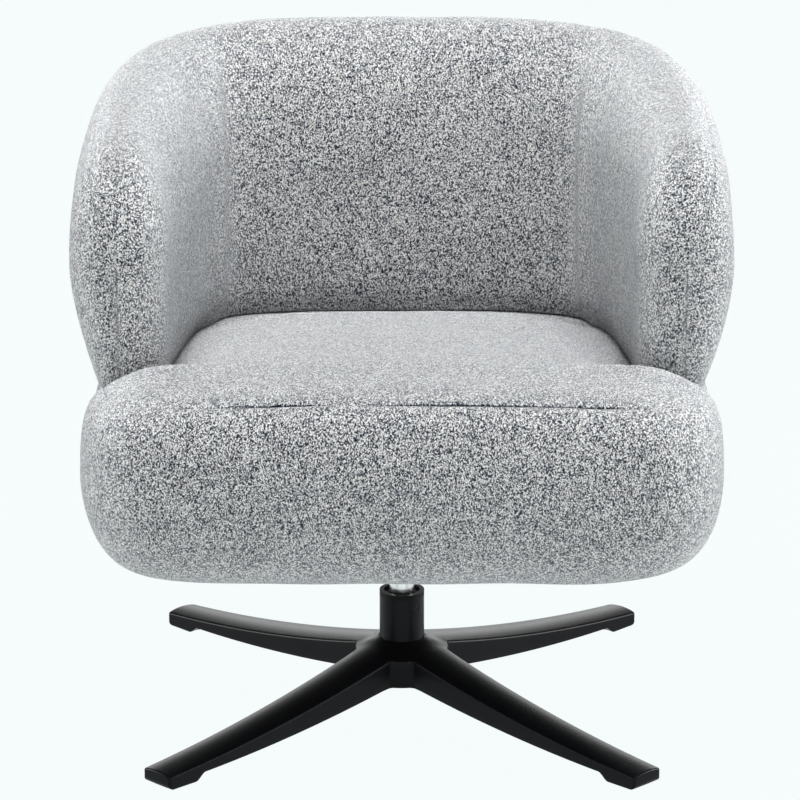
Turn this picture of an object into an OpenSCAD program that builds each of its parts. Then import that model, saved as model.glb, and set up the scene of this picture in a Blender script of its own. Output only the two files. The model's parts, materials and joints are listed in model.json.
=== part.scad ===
// Swivel armchair: an upholstered tub seat that turns on a short column over a four-leg star base.
// Millimetres, +Z up, the front faces -Y, the origin is on the floor under the column's axis.

/* [Seat drum] */
// Width of the seat drum at its widest line
drum_w = 682; // [650:1:720]
// Reach of the seat drum ahead of the column's axis
drum_front = 347.5; // [335:0.5:360]
// Reach of the seat drum behind the column's axis
drum_back = 326; // [315:0.5:340]
// Height of the drum's flat underside above the floor
drum_bottom_z = 233; // [222:0.5:297]
// Height from the underside to the drum's widest line
drum_belly_h = 106; // [98:0.5:114]
// Height from the underside to the plane that the shell stands on
drum_joint_h = 164; // [155:0.5:190]
// Rise of the seat cushion above that plane at its front
cushion_rise = 62; // [40:1:80]
// Fall of the cushion towards the back, as a slope
cushion_slope = 0.125; // [0.05:0.005:0.16]
// Thickness of the upholstery fabric
fabric_t = 2; // [1.5:0.1:3]

/* [Shell] */
// Distance that the shell stands out past the drum on each side
shell_overhang = 10.5; // [6:0.5:16]
// Height of the shell's back above the plane that it stands on
shell_h = 323; // [280:0.5:380]
// Thickness of the upholstered shell
shell_t = 102.4; // [90:0.2:110]
// Distance that the back leans rearward over its height
back_lean = 58.5; // [30:0.5:62]
// Drop of the arms' tops from the back to their fronts
arm_drop = 45; // [20:1:70]
// Distance of the arms' fronts ahead of the column's axis
arm_reach = 205; // [180:1:225]
// Thickness of the moulded plywood core
core_t = 12; // [9:0.5:15]

/* [Frame] */
// Thickness of the bottom board
board_t = 15; // [12:1:18]
// Thickness of the frame rails
rail_t = 20; // [16:1:25]
// Thickness of the deck and of the shell's foot rail
deck_t = 15; // [12:1:18]
// Width of the webbing straps
strap_w = 50; // [40:1:60]

/* [Column] */
// Outside diameter of the column tube
tube_d = 50; // [46:1:56]
// Inside diameter of the column tube
tube_bore_d = 44; // [40:1:44]
// Diameter of the steel spindle
spindle_d = 28; // [25:1:30]
// Height of the column's top above the floor
column_top_z = 133; // [122:1:147]
// Height of the tube's lower end above the floor
tube_bottom_z = 35; // [33:1:41]
// Radial running clearance between the spindle and its bush
bush_gap = 0.05; // [0.02:0.01:0.1]

/* [Base] */
// Radius from the column's axis to the legs' tips
leg_reach = 371; // [340:1:400]
// Width of a leg at the hub
leg_hub_w = 56.4; // [46:0.2:66]
// Width of a leg at its tip
leg_tip_w = 41.8; // [34:0.2:50]
// Height of the legs' ridge where it meets the column
ridge_hub_z = 76; // [70:0.5:77]
// Height of the legs' ridge at the tip
ridge_tip_z = 19.5; // [16:0.5:26]
// Radius of the legs' concave ridge line
ridge_r = 1960; // [1200:20:3000]
// Radius of the legs' crowned top, across the leg
crown_r = 80; // [45:1:120]
// Radius of the hub
hub_r = 52; // [48:1:60]
// Height of the hub's underside above the floor
hub_bottom_z = 34; // [28:0.5:34.5]
// Diameter of the foot glides
glide_d = 22; // [14:1:30]
// Thickness of the foot glides under the casting
glide_t = 2; // [1.5:0.5:4]

/* [Hidden] */

// Gap that keeps soft solids clear of what they lie on
soft_gap = 0.3;
// Number of facets on round exact solids, and on small ones
round_fn = 96;
small_fn = 48;
// Overshoot of a cut past the face that it goes through
cut = 1;

// Heights in the seat
belly_z = drum_bottom_z + drum_belly_h;
joint_z = drum_bottom_z + drum_joint_h;
crown_z = joint_z + cushion_rise;
board_rise = 3.3;
board_z = drum_bottom_z + fabric_t + board_rise;
deck_drop = 14;
rail_z = board_z + board_t;
deck_top_z = joint_z - deck_drop;
deck_z = deck_top_z - deck_t;
rail_h = deck_z - rail_z;
strap_t = 1.4;
foam_split_z = deck_top_z + 2 * strap_t + 2 * soft_gap;

// Drum outline and profile: superellipses, flatter in front than behind
front_power = 7.5;
back_power = 3.2;
low_plan_power = 13;
low_rise_power = 1.65;
top_plan_power = 15;
top_rise_power = 3.5;
drum_step = 9;
nose_turn = 72;
nose_turns = 10;
low_rings = 6;
side_rings_count = 4;
seam_turn = 35;
seam_rho = pow(sin(seam_turn), 2 / top_plan_power);
flange_rho = 0.66;
board_rho = 0.76;
deck_rho = 0.9;
dust_rho = 0.7;

// Shell path: straight arms and a superellipse round the back
shell_w = drum_w + 2 * shell_overhang;
shell_out = shell_t * 0.492;
shell_in = shell_t - shell_out;
path_half_w = shell_w / 2 - shell_out;
path_y = -20;
path_setback = 71;
path_depth = drum_back - path_setback - path_y;
path_power = 3.37;
toe_in = 0.0001;
arm_len = arm_reach + path_y;
arm_steps = 6;
back_steps = 20;
side_power = 2.65;
top_power = 2.45;
skin_power = 0.3;
arm_mid_h = 154;
back_mid_h = 172;
corner_drop = 3.5;
lean_start = 20;
lean_span = 240;
lean_pull = 0.04;
foot_out_h = 16;
foot_out_power = 1.75;
foot_side_power = 1;
foot_in_h = 30;
foot_in_power = 5;
nose_plan = 50;
nose_top = 90;
nose_power = 2.3;
nose_least = 0.005;
seam_angle = 60;
foot_rail_z = joint_z + fabric_t + 1;
foot_rail_out = 5;
rail_station_shift = 0.8;
foot_rail_in = 30;
shell_bolt_in = 6;
foot_rail_t = deck_t + 1;
core_z = foot_rail_z + foot_rail_t;
core_setback_share = 0.216;
core_setback = arm_len * core_setback_share;
core_top_gap = 35;

// Raised part of the cushion between the arms, and where it starts to fall
cushion_half_w = shell_w / 2 - shell_t;
cushion_gap = 1;
cushion_depth = path_y + path_depth - shell_in - cushion_gap;
cushion_power = 3.6;
cushion_edge = 18;
crest_ahead = 15;
crest_y = -arm_reach - crest_ahead;
side_fall = 14;
nose_clear = 4;
nose_rise = 36;

// Column and bearing stack
bush_flange_t = 6;
bush_len = 38;
bush_recess_d = 40;
bush_recess_t = 2.5;
tube_floor_t = 4;
nose_d = 12;
nose_hole_d = 13;
buffer_t = 4;
race_t = 2.5;
race_od = 30;
ball_d = 5;
ball_count = 8;
ball_pitch_r = 10.9;
ball_gap = 0.1;
ball_sink = 0.6;
cage_t = 1.2;
buffer_z = tube_bottom_z + tube_floor_t;
lower_race_z = buffer_z + buffer_t;
ball_z = lower_race_z + race_t - ball_sink + ball_gap + ball_d / 2;
upper_race_z = ball_z + ball_d / 2 - ball_sink + ball_gap;
shoulder_z = upper_race_z + race_t;
washer_d = 24;
washer_play = 0.4;
washer_t = 1.2;
washer_z = tube_bottom_z - soft_gap - washer_t;
clip_t = 1.2;
clip_z = washer_z - clip_t;
clip_groove_d = 10;
clip_od = 18;
clip_mouth = 7;
nose_past_clip = 2;
nose_end_z = clip_z - nose_past_clip;
screw_z = 116;
screw_turn = -46.5;
screw_d = 5;
screw_len = 6;
screw_sink = 0.8;
screw_fit = 0.1;

// Swivel plate and its fasteners
plate_w = 200;
plate_t = 4;
plate_top_z = board_z;
plate_z = plate_top_z - plate_t;
socket_h = 44;
socket_z = plate_z - socket_h;
socket_d = 46;
socket_tip_d = 40;
taper_rate = 0.0155;
spindle_top_gap = 0.5;
spindle_top_z = plate_top_z - spindle_top_gap;
plate_bolt_at = 75;
rib_w = 5;
rib_in = socket_tip_d / 2 - 2;
rib_out = plate_w / 2 - 12;
rib_drop = 8;
rib_sink = 2;
bolt_d = 8;
bolt_head_w = 13;
bolt_head_t = 5.3;
bolt_hole_d = 8.6;
bolt_washer_t = 1.6;
bolt_washer_d = 20;
nut_barrel_d = 10;
nut_barrel_h = 12;
nut_flange_d = 22;
nut_flange_t = 1.6;
nut_bore_d = 8.1;
nut_hole_d = 10.2;
bolt_spare = 2;
dust_t = 0.8;
dust_opening = plate_w + 4;

// Frame box
rail_side_gap = 91;
rail_front_gap = 91.5;
rail_rear_gap = 101;
front_corner = [50, 56];
rear_corner = [80, 105];
rail_out_x = drum_w / 2 - rail_side_gap;
rail_front_y = rail_front_gap - drum_front;
rail_rear_y = drum_back - rail_rear_gap;
front_len = 2 * (rail_out_x - front_corner[0]);
rear_len = 2 * (rail_out_x - rear_corner[0]);
side_front_y = rail_front_y + front_corner[1];
side_rear_y = rail_rear_y - rear_corner[1];
deck_ledge = 25;
deck_opening = rail_out_x - rail_t - deck_ledge;
deck_opening_power = 5;
deck_mid_y = (rail_rear_y - rail_out_x) / 2;
strap_hold = 22;
strap_pitch = 1.55;
wood_screw_x = rail_out_x - 120;
wood_screw_front = 70;
wood_screw_rear = 20;
wood_screw_d = 4.5;
wood_screw_len = 40;
wood_head_d = 9;
wood_head_t = 2.6;
wood_hole_gap = 0.05;
outline_steps = 72;

// Legs
leg_count = 4;
foot_inset = 26;
foot_r = leg_reach - foot_inset;
foot_z = glide_t;
foot_half = 12;
foot_start = foot_r - foot_half;
foot_notch = 14;
leg_corner = 5;
foot_chamfer = [9, 1.6];
foot_nose = [2, 5];
foot_nose_h = 9;
leg_under_hub_z = 33.5;
leg_under_tip_z = 10;
leg_under_sag = 4.2;
leg_under_steps = 8;
glide_pin_d = 8;
glide_pin_h = 5;
glide_fit = 0.1;
hub_wall_z = 65;
hub_top_z = 78.5;
hub_top_r = tube_d / 2 + 4;

function spow(v, p) = sign(v) * pow(abs(v), p);
function smooth(t) = let (k = min(max(t, 0), 1)) k * k * (3 - 2 * k);
function flatten(lists) = [for (list = lists) for (item = list) item];

// Closed solid from rings of an even number of points, with zigzag caps or its last ring joined to its first.
// Past a fold, where a skin's inner side runs back along its outer side, quads split the other way.
module ring_solid(rings, joined = false, ring_fold = 1000, point_fold = 1000) {
    m = len(rings);
    n = len(rings[0]);
    last = joined ? m : m - 1;
    walls = [for (i = [0 : last - 1]) for (j = [0 : n - 1])
        let (a = i * n + j, b = i * n + (j + 1) % n, c = ((i + 1) % m) * n + j,
            d = ((i + 1) % m) * n + (j + 1) % n)
        each (i >= ring_fold || j >= point_fold) ? [[a, b, c], [b, d, c]] : [[a, d, c], [a, b, d]]];
    half = floor(n / 2);
    cap = [for (j = [0 : half - 2]) each [[j, n - 2 - j, j + 1], [j, n - 1 - j, n - 2 - j]]];
    far = (m - 1) * n;
    caps = joined ? [] : [for (f = cap) each [f, [f[0] + far, f[2] + far, f[1] + far]]];
    polyhedron(points = flatten(rings), faces = concat(walls, caps));
}

// Point of the drum's outline at a turn, on a ring that is a share rho of it
function drum_xy(turn, rho, inset = 0) = let (
    n = sin(turn) < 0 ? front_power : back_power,
    depth = sin(turn) < 0 ? drum_front : drum_back,
    drawn = inset * pow(rho, 8))
    [rho * (drum_w / 2 - drawn) * spow(cos(turn), 2 / n), rho * (depth - drawn) * spow(sin(turn), 2 / n)];
function drum_outline(rho, steps = outline_steps) = [for (i = [0 : steps - 1]) drum_xy(i * 360 / steps, rho)];

// How far out a point lies on the cushion between the arms: 1 is its edge
function cushion_ratio(p) = pow(pow(abs(p[0]) / cushion_half_w, cushion_power)
    + pow(max(p[1], 0) / cushion_depth, cushion_power), 1 / cushion_power);
// Height of the seat's top before it rounds over at the rim
function seat_z(p) = let (
    raised = crown_z - cushion_slope * max(p[1] - crest_y, 0) - side_fall * pow(abs(p[0]) / drum_w * 2, 2.5),
    inside = smooth((1 - cushion_ratio(p)) * cushion_half_w / cushion_edge),
    ahead = smooth((-arm_reach - nose_clear - p[1]) / nose_rise))
    joint_z + (raised - joint_z) * max(inside, ahead);
function top_point(turn, rho, inset) = let (p = drum_xy(turn, rho, inset))
    [p[0], p[1], belly_z
        + (seat_z(p) - inset - belly_z) * pow(1 - pow(rho, top_plan_power), 1 / top_rise_power)];
function low_point(turn, rho, inset) = let (p = drum_xy(turn, rho, inset))
    [p[0], p[1], belly_z
        - (belly_z - drum_bottom_z - inset) * pow(1 - pow(rho, low_plan_power), 1 / low_rise_power)];
function edge_rho(turn) = min(0.84, 1 / cushion_ratio(drum_xy(turn, 1)));

// Turns of the drum's rings, twice as close beside the arms' fronts
drum_turns = [for (t = [0 : drum_step / 2 : 359])
    if (t % drum_step == 0 || abs(abs(t - 270) - nose_turn) < nose_turns) t];
cushion_shares = [0.05, 0.3, 0.55, 0.78, 0.93, 0.975, 1.03];
function top_rings(inset) = concat(
    [for (s = cushion_shares) [for (a = drum_turns) top_point(a, edge_rho(a) * s, inset)]],
    [[for (a = drum_turns) top_point(a, (edge_rho(a) * 1.03 + seam_rho) / 2, inset)],
    [for (a = drum_turns) top_point(a, seam_rho, inset)]]);
function side_rings(inset) = [for (k = [1 : side_rings_count])
    let (t = seam_turn + (90 - seam_turn) * k / side_rings_count)
    [for (a = drum_turns) top_point(a, pow(sin(t), 2 / top_plan_power), inset)]];
function low_ring_set(inset) = concat(
    [for (k = [low_rings - 1 : -1 : 1]) [for (a = drum_turns)
        low_point(a, pow(sin(k * 90 / low_rings), 2 / low_plan_power), inset)]],
    [[for (a = drum_turns) low_point(a, flange_rho, inset)]]);
function reversed(list) = [for (i = [len(list) - 1 : -1 : 0]) list[i]];

// The whole drum, drawn in from its outer surface by an inset
module drum_solid(inset) {
    ring_solid(concat(top_rings(inset), side_rings(inset), low_ring_set(inset),
        [[for (a = drum_turns) low_point(a, 0.05, inset)]]));
}

// Shell stations: [x, y, normal x, normal y, distance from the arm's front]
function arm_station(k, side) = let (
    d = arm_len * pow(k / arm_steps, 2),
    ahead = arm_len - d,
    slope = 2 * toe_in * ahead,
    s = sqrt(1 + slope * slope))
    [side * (path_half_w - toe_in * ahead * ahead), path_y - ahead, side / s, -slope / s, d];
function back_station(k) = let (
    t = 180 * k / back_steps,
    c = cos(t),
    q = sin(t),
    nx = spow(c, 2 - 2 / path_power) / path_half_w,
    ny = spow(q, 2 - 2 / path_power) / path_depth,
    s = sqrt(nx * nx + ny * ny))
    [path_half_w * spow(c, 2 / path_power), path_y + path_depth * spow(q, 2 / path_power), nx / s, ny / s,
        arm_reach * 2];
stations = concat(
    [for (k = [0 : arm_steps]) arm_station(k, 1)],
    [for (k = [1 : back_steps - 1]) back_station(k)],
    [for (k = [arm_steps : -1 : 0]) arm_station(k, -1)]);

function lean_share(y) = smooth((y + lean_start) / lean_span);
// Point beside a station: out is along its outward normal, and z carries the lean of the back
function beside(st, out, z) = let (b = lean_share(st[1]), h = (z - joint_z - 10) / (shell_h - 14))
    [st[0] + st[2] * out - sign(st[0]) * back_lean * lean_pull * b * h,
        st[1] + st[3] * out + back_lean * b * h, z];
function top_z(st) = let (t = (path_y + path_depth - st[1]) / (path_depth + arm_len), x = st[0] / path_half_w)
    joint_z + shell_h - arm_drop * t - corner_drop * x * x * (1 - t);
function mid_z(st) = joint_z + arm_mid_h + (back_mid_h - arm_mid_h) * lean_share(st[1]);
function round_in(d, reach) = d >= reach ? 1 : pow(1 - pow(1 - d / reach, nose_power), 1 / nose_power);
// Point of the upholstered section at a station: turn 0 is outward, 90 is up
function shell_point(st, turn, inset) = let (
    e = max(round_in(st[4], nose_plan), nose_least),
    nose = inset * (1 - min(st[4] / arm_len, 1)),
    moved = [st[0], st[1] + nose, st[2], st[3], st[4]],
    low_side = cos(turn) > 0 && sin(turn) < 0,
    half = cos(turn) > 0 ? shell_out : shell_in,
    out = e * (half * spow(cos(turn), 2 / (low_side ? foot_side_power : side_power))
        - inset * spow(cos(turn), skin_power)),
    mid = mid_z(st),
    high = (top_z(st) - inset - mid) * max(round_in(st[4], nose_top), 0.03),
    foot = cos(turn) > 0 ? joint_z - foot_out_h : joint_z - foot_in_h,
    power = cos(turn) > 0 ? foot_out_power : foot_in_power,
    rise = sin(turn) > 0 ? high * spow(sin(turn), 2 / top_power) : (mid - foot) * spow(sin(turn), 2 / power))
    beside(moved, out, mid + rise);
outer_turns = [-90, -77, -64, -51, -38, -25, -11, 3, 17, 31, 45, seam_angle];
inner_turns = [seam_angle, 75, 90, 107, 125, 146, 168, 190, 212, 232, 251, 270];
module shell_skin(turns) {
    difference() {
        ring_solid([for (st = stations) concat(
            [for (a = turns) shell_point(st, a, 0)],
            [for (a = reversed(turns)) shell_point(st, a, fabric_t)])], point_fold = len(turns));
        drum_solid(-soft_gap);
    }
}
module shell_block(inset) {
    turns = concat(outer_turns, [for (i = [1 : len(inner_turns) - 2]) inner_turns[i]]);
    difference() {
        ring_solid([for (st = stations) [for (a = turns) shell_point(st, a, inset)]]);
        drum_solid(-soft_gap);
    }
}
// Upright board that follows the shell's path
module shell_board(in, out, low, top_gap, setback, spare = 0) {
    kept = [for (st = stations) if (st[4] >= setback) st];
    ring_solid([for (st = kept) let (high = top_z(st) - top_gap)
        [beside(st, -in, low), beside(st, out, low),
            beside(st, out, high + spare), beside(st, -in, high + spare)]]);
}
bolt_stations = [arm_station(3.4, 1), arm_station(6, 1), back_station(6.6), back_station(13.4),
    arm_station(6, -1), arm_station(3.4, -1)];
module at_shell_bolts() {
    for (st = bolt_stations)
        translate([st[0] - st[2] * shell_bolt_in, st[1] - st[3] * shell_bolt_in, 0]) children();
}
module at_plate_bolts() {
    for (x = [-1, 1], y = [-1, 1]) translate([x * plate_bolt_at, y * plate_bolt_at, 0]) children();
}
module at_legs() {
    for (k = [0 : leg_count - 1]) rotate([0, 0, 45 + k * 360 / leg_count]) children();
}
wood_screw_spots = [
    for (x = [-wood_screw_x, wood_screw_x], y = [rail_front_y + rail_t / 2, rail_rear_y - rail_t / 2]) [x, y],
    for (x = [-1, 1], y = [side_front_y + wood_screw_front, side_rear_y - wood_screw_rear])
        [x * (rail_out_x - rail_t / 2), y]];
module at_wood_screws() {
    for (p = wood_screw_spots) translate([p[0], p[1], 0]) children();
}

module hex_bolt(grip) {
    translate([0, 0, -bolt_head_t]) cylinder(h = bolt_head_t, d = bolt_head_w / cos(30), $fn = 6);
    cylinder(h = grip, d = bolt_d, $fn = small_fn);
}
module flat_washer() {
    difference() {
        cylinder(h = bolt_washer_t, d = bolt_washer_d, $fn = small_fn);
        translate([0, 0, -cut]) cylinder(h = bolt_washer_t + 2 * cut, d = bolt_hole_d, $fn = small_fn);
    }
}
// Flanged barrel nut, its flange's underside at z = 0
module barrel_nut() {
    difference() {
        union() {
            translate([0, 0, -nut_barrel_h]) cylinder(h = nut_barrel_h, d = nut_barrel_d, $fn = small_fn);
            cylinder(h = nut_flange_t, d = nut_flange_d, $fn = small_fn);
        }
        translate([0, 0, -nut_barrel_h - cut])
            cylinder(h = nut_barrel_h + nut_flange_t + 2 * cut, d = nut_bore_d, $fn = small_fn);
    }
}
// Countersunk screw, its head's face at z = 0 and its shank upward
module wood_screw(gap = 0) {
    cylinder(h = wood_screw_len + gap, d = wood_screw_d + 2 * gap, $fn = small_fn);
    cylinder(h = wood_head_t + gap, d1 = wood_head_d + 2 * gap, d2 = wood_screw_d + 2 * gap, $fn = small_fn);
}

// Cast star base
ridge_start_r = tube_d / 2;
ridge_mid = [(ridge_start_r + leg_reach) / 2, (ridge_hub_z + ridge_tip_z) / 2];
ridge_chord = [leg_reach - ridge_start_r, ridge_tip_z - ridge_hub_z];
ridge_centre = ridge_mid + [-ridge_chord[1], ridge_chord[0]] / norm(ridge_chord)
    * sqrt(ridge_r * ridge_r - ridge_chord * ridge_chord / 4);
module leg_plan() {
    h = leg_hub_w / 2;
    t = leg_tip_w / 2;
    c = leg_corner;
    intersection() {
        polygon([[0, -h], [leg_reach - c, -t], [leg_reach, c - t],
            [leg_reach, t - c], [leg_reach - c, t], [0, h]]);
        circle(r = leg_reach, $fn = round_fn);
    }
}
// Point on a leg's underside, from the hub to the notch before the foot
function leg_under(t) = [hub_r + (foot_start - foot_notch - hub_r) * t,
    leg_under_hub_z + (leg_under_tip_z - leg_under_hub_z) * t - 4 * leg_under_sag * t * (1 - t)];
module leg() {
    wide = leg_hub_w;
    intersection() {
        linear_extrude(height = hub_top_z) leg_plan();
        translate([0, wide / 2, 0]) rotate([90, 0, 0]) linear_extrude(height = wide)
            polygon(concat([[0, hub_bottom_z], [hub_r - 4, hub_bottom_z]],
                [for (k = [0 : leg_under_steps]) leg_under(k / leg_under_steps)],
                [[foot_start, foot_z], [leg_reach - foot_chamfer[0], foot_z],
                [leg_reach - foot_nose[0], foot_z + foot_chamfer[1]],
                [leg_reach - foot_nose[0] / 4, foot_z + foot_nose[1]],
                [leg_reach, foot_z + foot_nose_h], [leg_reach, hub_top_z], [0, hub_top_z]]));
        translate([ridge_centre[0], 0, ridge_centre[1]]) rotate([90, 0, 0]) rotate_extrude($fn = round_fn * 2)
            union() {
                translate([ridge_r + crown_r, 0]) circle(r = crown_r, $fn = round_fn);
                translate([ridge_r + crown_r, -crown_r]) square([crown_r, 2 * crown_r]);
            }
    }
}
module star_base() {
    color("#17181a") difference() {
        union() {
            at_legs() leg();
            rotate_extrude($fn = round_fn) polygon([[0, hub_bottom_z], [hub_r - 2, hub_bottom_z],
                [hub_r, hub_bottom_z + 2], [hub_r, hub_wall_z], [hub_top_r, hub_top_z], [0, hub_top_z]]);
        }
        translate([0, 0, hub_bottom_z - cut])
            cylinder(h = hub_top_z - hub_bottom_z + 2 * cut, d = tube_d, $fn = round_fn);
        at_legs() translate([foot_r, 0, foot_z - cut])
            cylinder(h = glide_pin_h + glide_fit + cut, d = glide_pin_d + 2 * glide_fit, $fn = small_fn);
    }
}
module foot_glides() {
    color("#202124") at_legs() translate([foot_r, 0, 0]) {
        cylinder(h = glide_t, d = glide_d, $fn = small_fn);
        cylinder(h = glide_t + glide_pin_h, d = glide_pin_d, $fn = small_fn);
    }
}

// Column, guide bush and thrust bearing
module screw_hole(depth, d) {
    rotate([0, 0, screw_turn]) translate([tube_d / 2 + cut - depth, 0, screw_z]) rotate([0, 90, 0])
        cylinder(h = depth, d = d, $fn = small_fn);
}
module column_tube() {
    color("#1a1b1d") difference() {
        translate([0, 0, tube_bottom_z])
            cylinder(h = column_top_z - bush_flange_t - tube_bottom_z, d = tube_d, $fn = round_fn);
        translate([0, 0, tube_bottom_z + tube_floor_t])
            cylinder(h = column_top_z, d = tube_bore_d, $fn = round_fn);
        translate([0, 0, tube_bottom_z - cut])
            cylinder(h = tube_floor_t + 2 * cut, d = nose_hole_d, $fn = small_fn);
        screw_hole(tube_d - tube_bore_d + cut, screw_d + 2 * screw_fit);
    }
}
module guide_bush() {
    flange_z = column_top_z - bush_flange_t;
    color("#101113") difference() {
        union() {
            translate([0, 0, flange_z]) cylinder(h = bush_flange_t, d = tube_d, $fn = round_fn);
            translate([0, 0, flange_z - bush_len]) cylinder(h = bush_len, d = tube_bore_d, $fn = round_fn);
        }
        translate([0, 0, flange_z - bush_len - cut])
            cylinder(h = bush_len + bush_flange_t + 2 * cut, d = spindle_d + 2 * bush_gap, $fn = round_fn);
        translate([0, 0, column_top_z - bush_recess_t])
            cylinder(h = bush_recess_t + cut, d = bush_recess_d, $fn = round_fn);
        screw_hole(screw_sink + screw_len + screw_fit + cut, screw_d + 2 * screw_fit);
    }
}
module bush_screw() {
    color("#2b2c2f") difference() {
        rotate([0, 0, screw_turn]) translate([tube_d / 2 - screw_sink - screw_len, 0, screw_z])
            rotate([0, 90, 0]) cylinder(h = screw_len, d = screw_d, $fn = small_fn);
        rotate([0, 0, screw_turn]) translate([tube_d / 2 - screw_sink - screw_len / 2, 0, screw_z])
            rotate([0, 90, 0]) cylinder(h = screw_len, d = screw_d / 2, $fn = 6);
    }
}
module flat_ring(z, h, od, id) {
    translate([0, 0, z]) difference() {
        cylinder(h = h, d = od, $fn = round_fn);
        translate([0, 0, -cut]) cylinder(h = h + 2 * cut, d = id, $fn = small_fn);
    }
}
module ball_groove() {
    translate([0, 0, ball_z]) rotate_extrude($fn = round_fn)
        translate([ball_pitch_r, 0]) circle(r = ball_d / 2 + ball_gap, $fn = small_fn);
}
module buffer_ring() {
    color("#0c0c0d") flat_ring(buffer_z, buffer_t, tube_bore_d - 1, nose_hole_d + 2);
}
module lower_race() {
    color("#b9bcc0") difference() {
        flat_ring(lower_race_z, race_t, race_od, nose_hole_d);
        ball_groove();
    }
}
module upper_race() {
    color("#b9bcc0") difference() {
        flat_ring(upper_race_z, race_t, race_od, nose_d);
        ball_groove();
    }
}
module at_balls() {
    for (k = [0 : ball_count - 1]) rotate([0, 0, k * 360 / ball_count])
        translate([ball_pitch_r, 0, ball_z]) children();
}
module ball_cage() {
    color("#c9a24b") difference() {
        flat_ring(ball_z - cage_t / 2, cage_t, race_od - 1, nose_hole_d + 1);
        at_balls() translate([0, 0, -ball_d])
            cylinder(h = 2 * ball_d, d = ball_d + 2 * ball_gap, $fn = small_fn);
    }
}
module bearing_balls() {
    color("#d5d7da") at_balls() sphere(d = ball_d, $fn = small_fn);
}
function taper_r(z) = spindle_d / 2 - (z - socket_z) * taper_rate;
module taper(low, high) {
    translate([0, 0, low]) cylinder(h = high - low, r1 = taper_r(low), r2 = taper_r(high), $fn = round_fn);
}
module spindle() {
    color("#d9dbde") difference() {
        union() {
            translate([0, 0, nose_end_z]) cylinder(h = shoulder_z - nose_end_z, d = nose_d, $fn = small_fn);
            translate([0, 0, shoulder_z]) cylinder(h = socket_z - shoulder_z, d = spindle_d, $fn = round_fn);
            taper(socket_z, spindle_top_z);
        }
        flat_ring(clip_z, clip_t, nose_d + 2, clip_groove_d);
    }
}
module spindle_washer() {
    color("#a9acb0") flat_ring(washer_z, washer_t, washer_d, nose_d + washer_play);
}
module spindle_clip() {
    color("#3b3d40") difference() {
        flat_ring(clip_z, clip_t, clip_od, clip_groove_d);
        translate([0, -clip_mouth / 2, clip_z - cut]) cube([clip_od, clip_mouth, clip_t + 2 * cut]);
    }
}

// Swivel plate with its tapered socket
module swivel_plate() {
    color("#1b1c1e") difference() {
        union() {
            translate([-plate_w / 2, -plate_w / 2, plate_z]) cube([plate_w, plate_w, plate_t]);
            translate([0, 0, socket_z])
                cylinder(h = socket_h + plate_t / 2, d1 = socket_tip_d, d2 = socket_d, $fn = round_fn);
            for (k = [0 : 3]) rotate([90, 0, k * 90]) translate([0, 0, -rib_w / 2])
                linear_extrude(height = rib_w) polygon([[rib_in, socket_z + rib_drop],
                    [rib_out, plate_z + rib_sink / 2], [rib_out, plate_z + rib_sink],
                    [rib_in, plate_z + rib_sink]]);
        }
        taper(socket_z - cut, plate_top_z + cut);
        at_plate_bolts() translate([0, 0, plate_z - cut])
            cylinder(h = plate_t + 2 * cut, d = bolt_hole_d, $fn = small_fn);
    }
}
module plate_washers() {
    color("#a9acb0") at_plate_bolts() translate([0, 0, plate_z - bolt_washer_t]) flat_washer();
}
module plate_bolts() {
    grip = bolt_washer_t + plate_t + board_t + nut_flange_t + bolt_spare;
    color("#8b8e92") at_plate_bolts() translate([0, 0, plate_z - bolt_washer_t]) hex_bolt(grip);
}
module plate_nuts() {
    color("#b9a25c") at_plate_bolts() translate([0, 0, rail_z]) barrel_nut();
}
module dust_cover() {
    color("#1c1c1e") translate([0, 0, drum_bottom_z - dust_t]) linear_extrude(height = dust_t) difference() {
        polygon(drum_outline(dust_rho));
        square(dust_opening, center = true);
    }
}

// Wooden frame of the seat
module bottom_board() {
    color("#c79a63") difference() {
        translate([0, 0, board_z]) linear_extrude(height = board_t) polygon(drum_outline(board_rho));
        at_plate_bolts() translate([0, 0, board_z - cut])
            cylinder(h = board_t + 2 * cut, d = nut_hole_d, $fn = small_fn);
        at_wood_screws() translate([0, 0, board_z]) wood_screw(wood_hole_gap);
    }
}
module rail(corner, size) {
    color("#d3ab74") difference() {
        translate([corner[0], corner[1], rail_z]) cube([size[0], size[1], rail_h]);
        at_wood_screws() translate([0, 0, board_z]) wood_screw(wood_hole_gap);
        at_wood_screws() translate([0, 0, deck_top_z]) mirror([0, 0, 1]) wood_screw(wood_hole_gap);
    }
}
module front_rail() {
    rail([-front_len / 2, rail_front_y], [front_len, rail_t]);
}
module rear_rail() {
    rail([-rear_len / 2, rail_rear_y - rail_t], [rear_len, rail_t]);
}
module left_rail() {
    rail([-rail_out_x, side_front_y], [rail_t, side_rear_y - side_front_y]);
}
module right_rail() {
    rail([rail_out_x - rail_t, side_front_y], [rail_t, side_rear_y - side_front_y]);
}
module corner_blocks() {
    front = [[front_len / 2, rail_front_y], [rail_out_x, side_front_y], [front_len / 2, side_front_y]];
    rear = [[rear_len / 2, side_rear_y], [rail_out_x, side_rear_y], [rear_len / 2, rail_rear_y]];
    color("#cfa56c") for (side = [-1, 1], outline = [front, rear])
        translate([0, 0, rail_z]) linear_extrude(height = rail_h) scale([side, 1]) polygon(outline);
}
function deck_hole(turn) = [deck_opening * spow(cos(turn), 2 / deck_opening_power),
    deck_mid_y + deck_opening * spow(sin(turn), 2 / deck_opening_power)];
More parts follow.
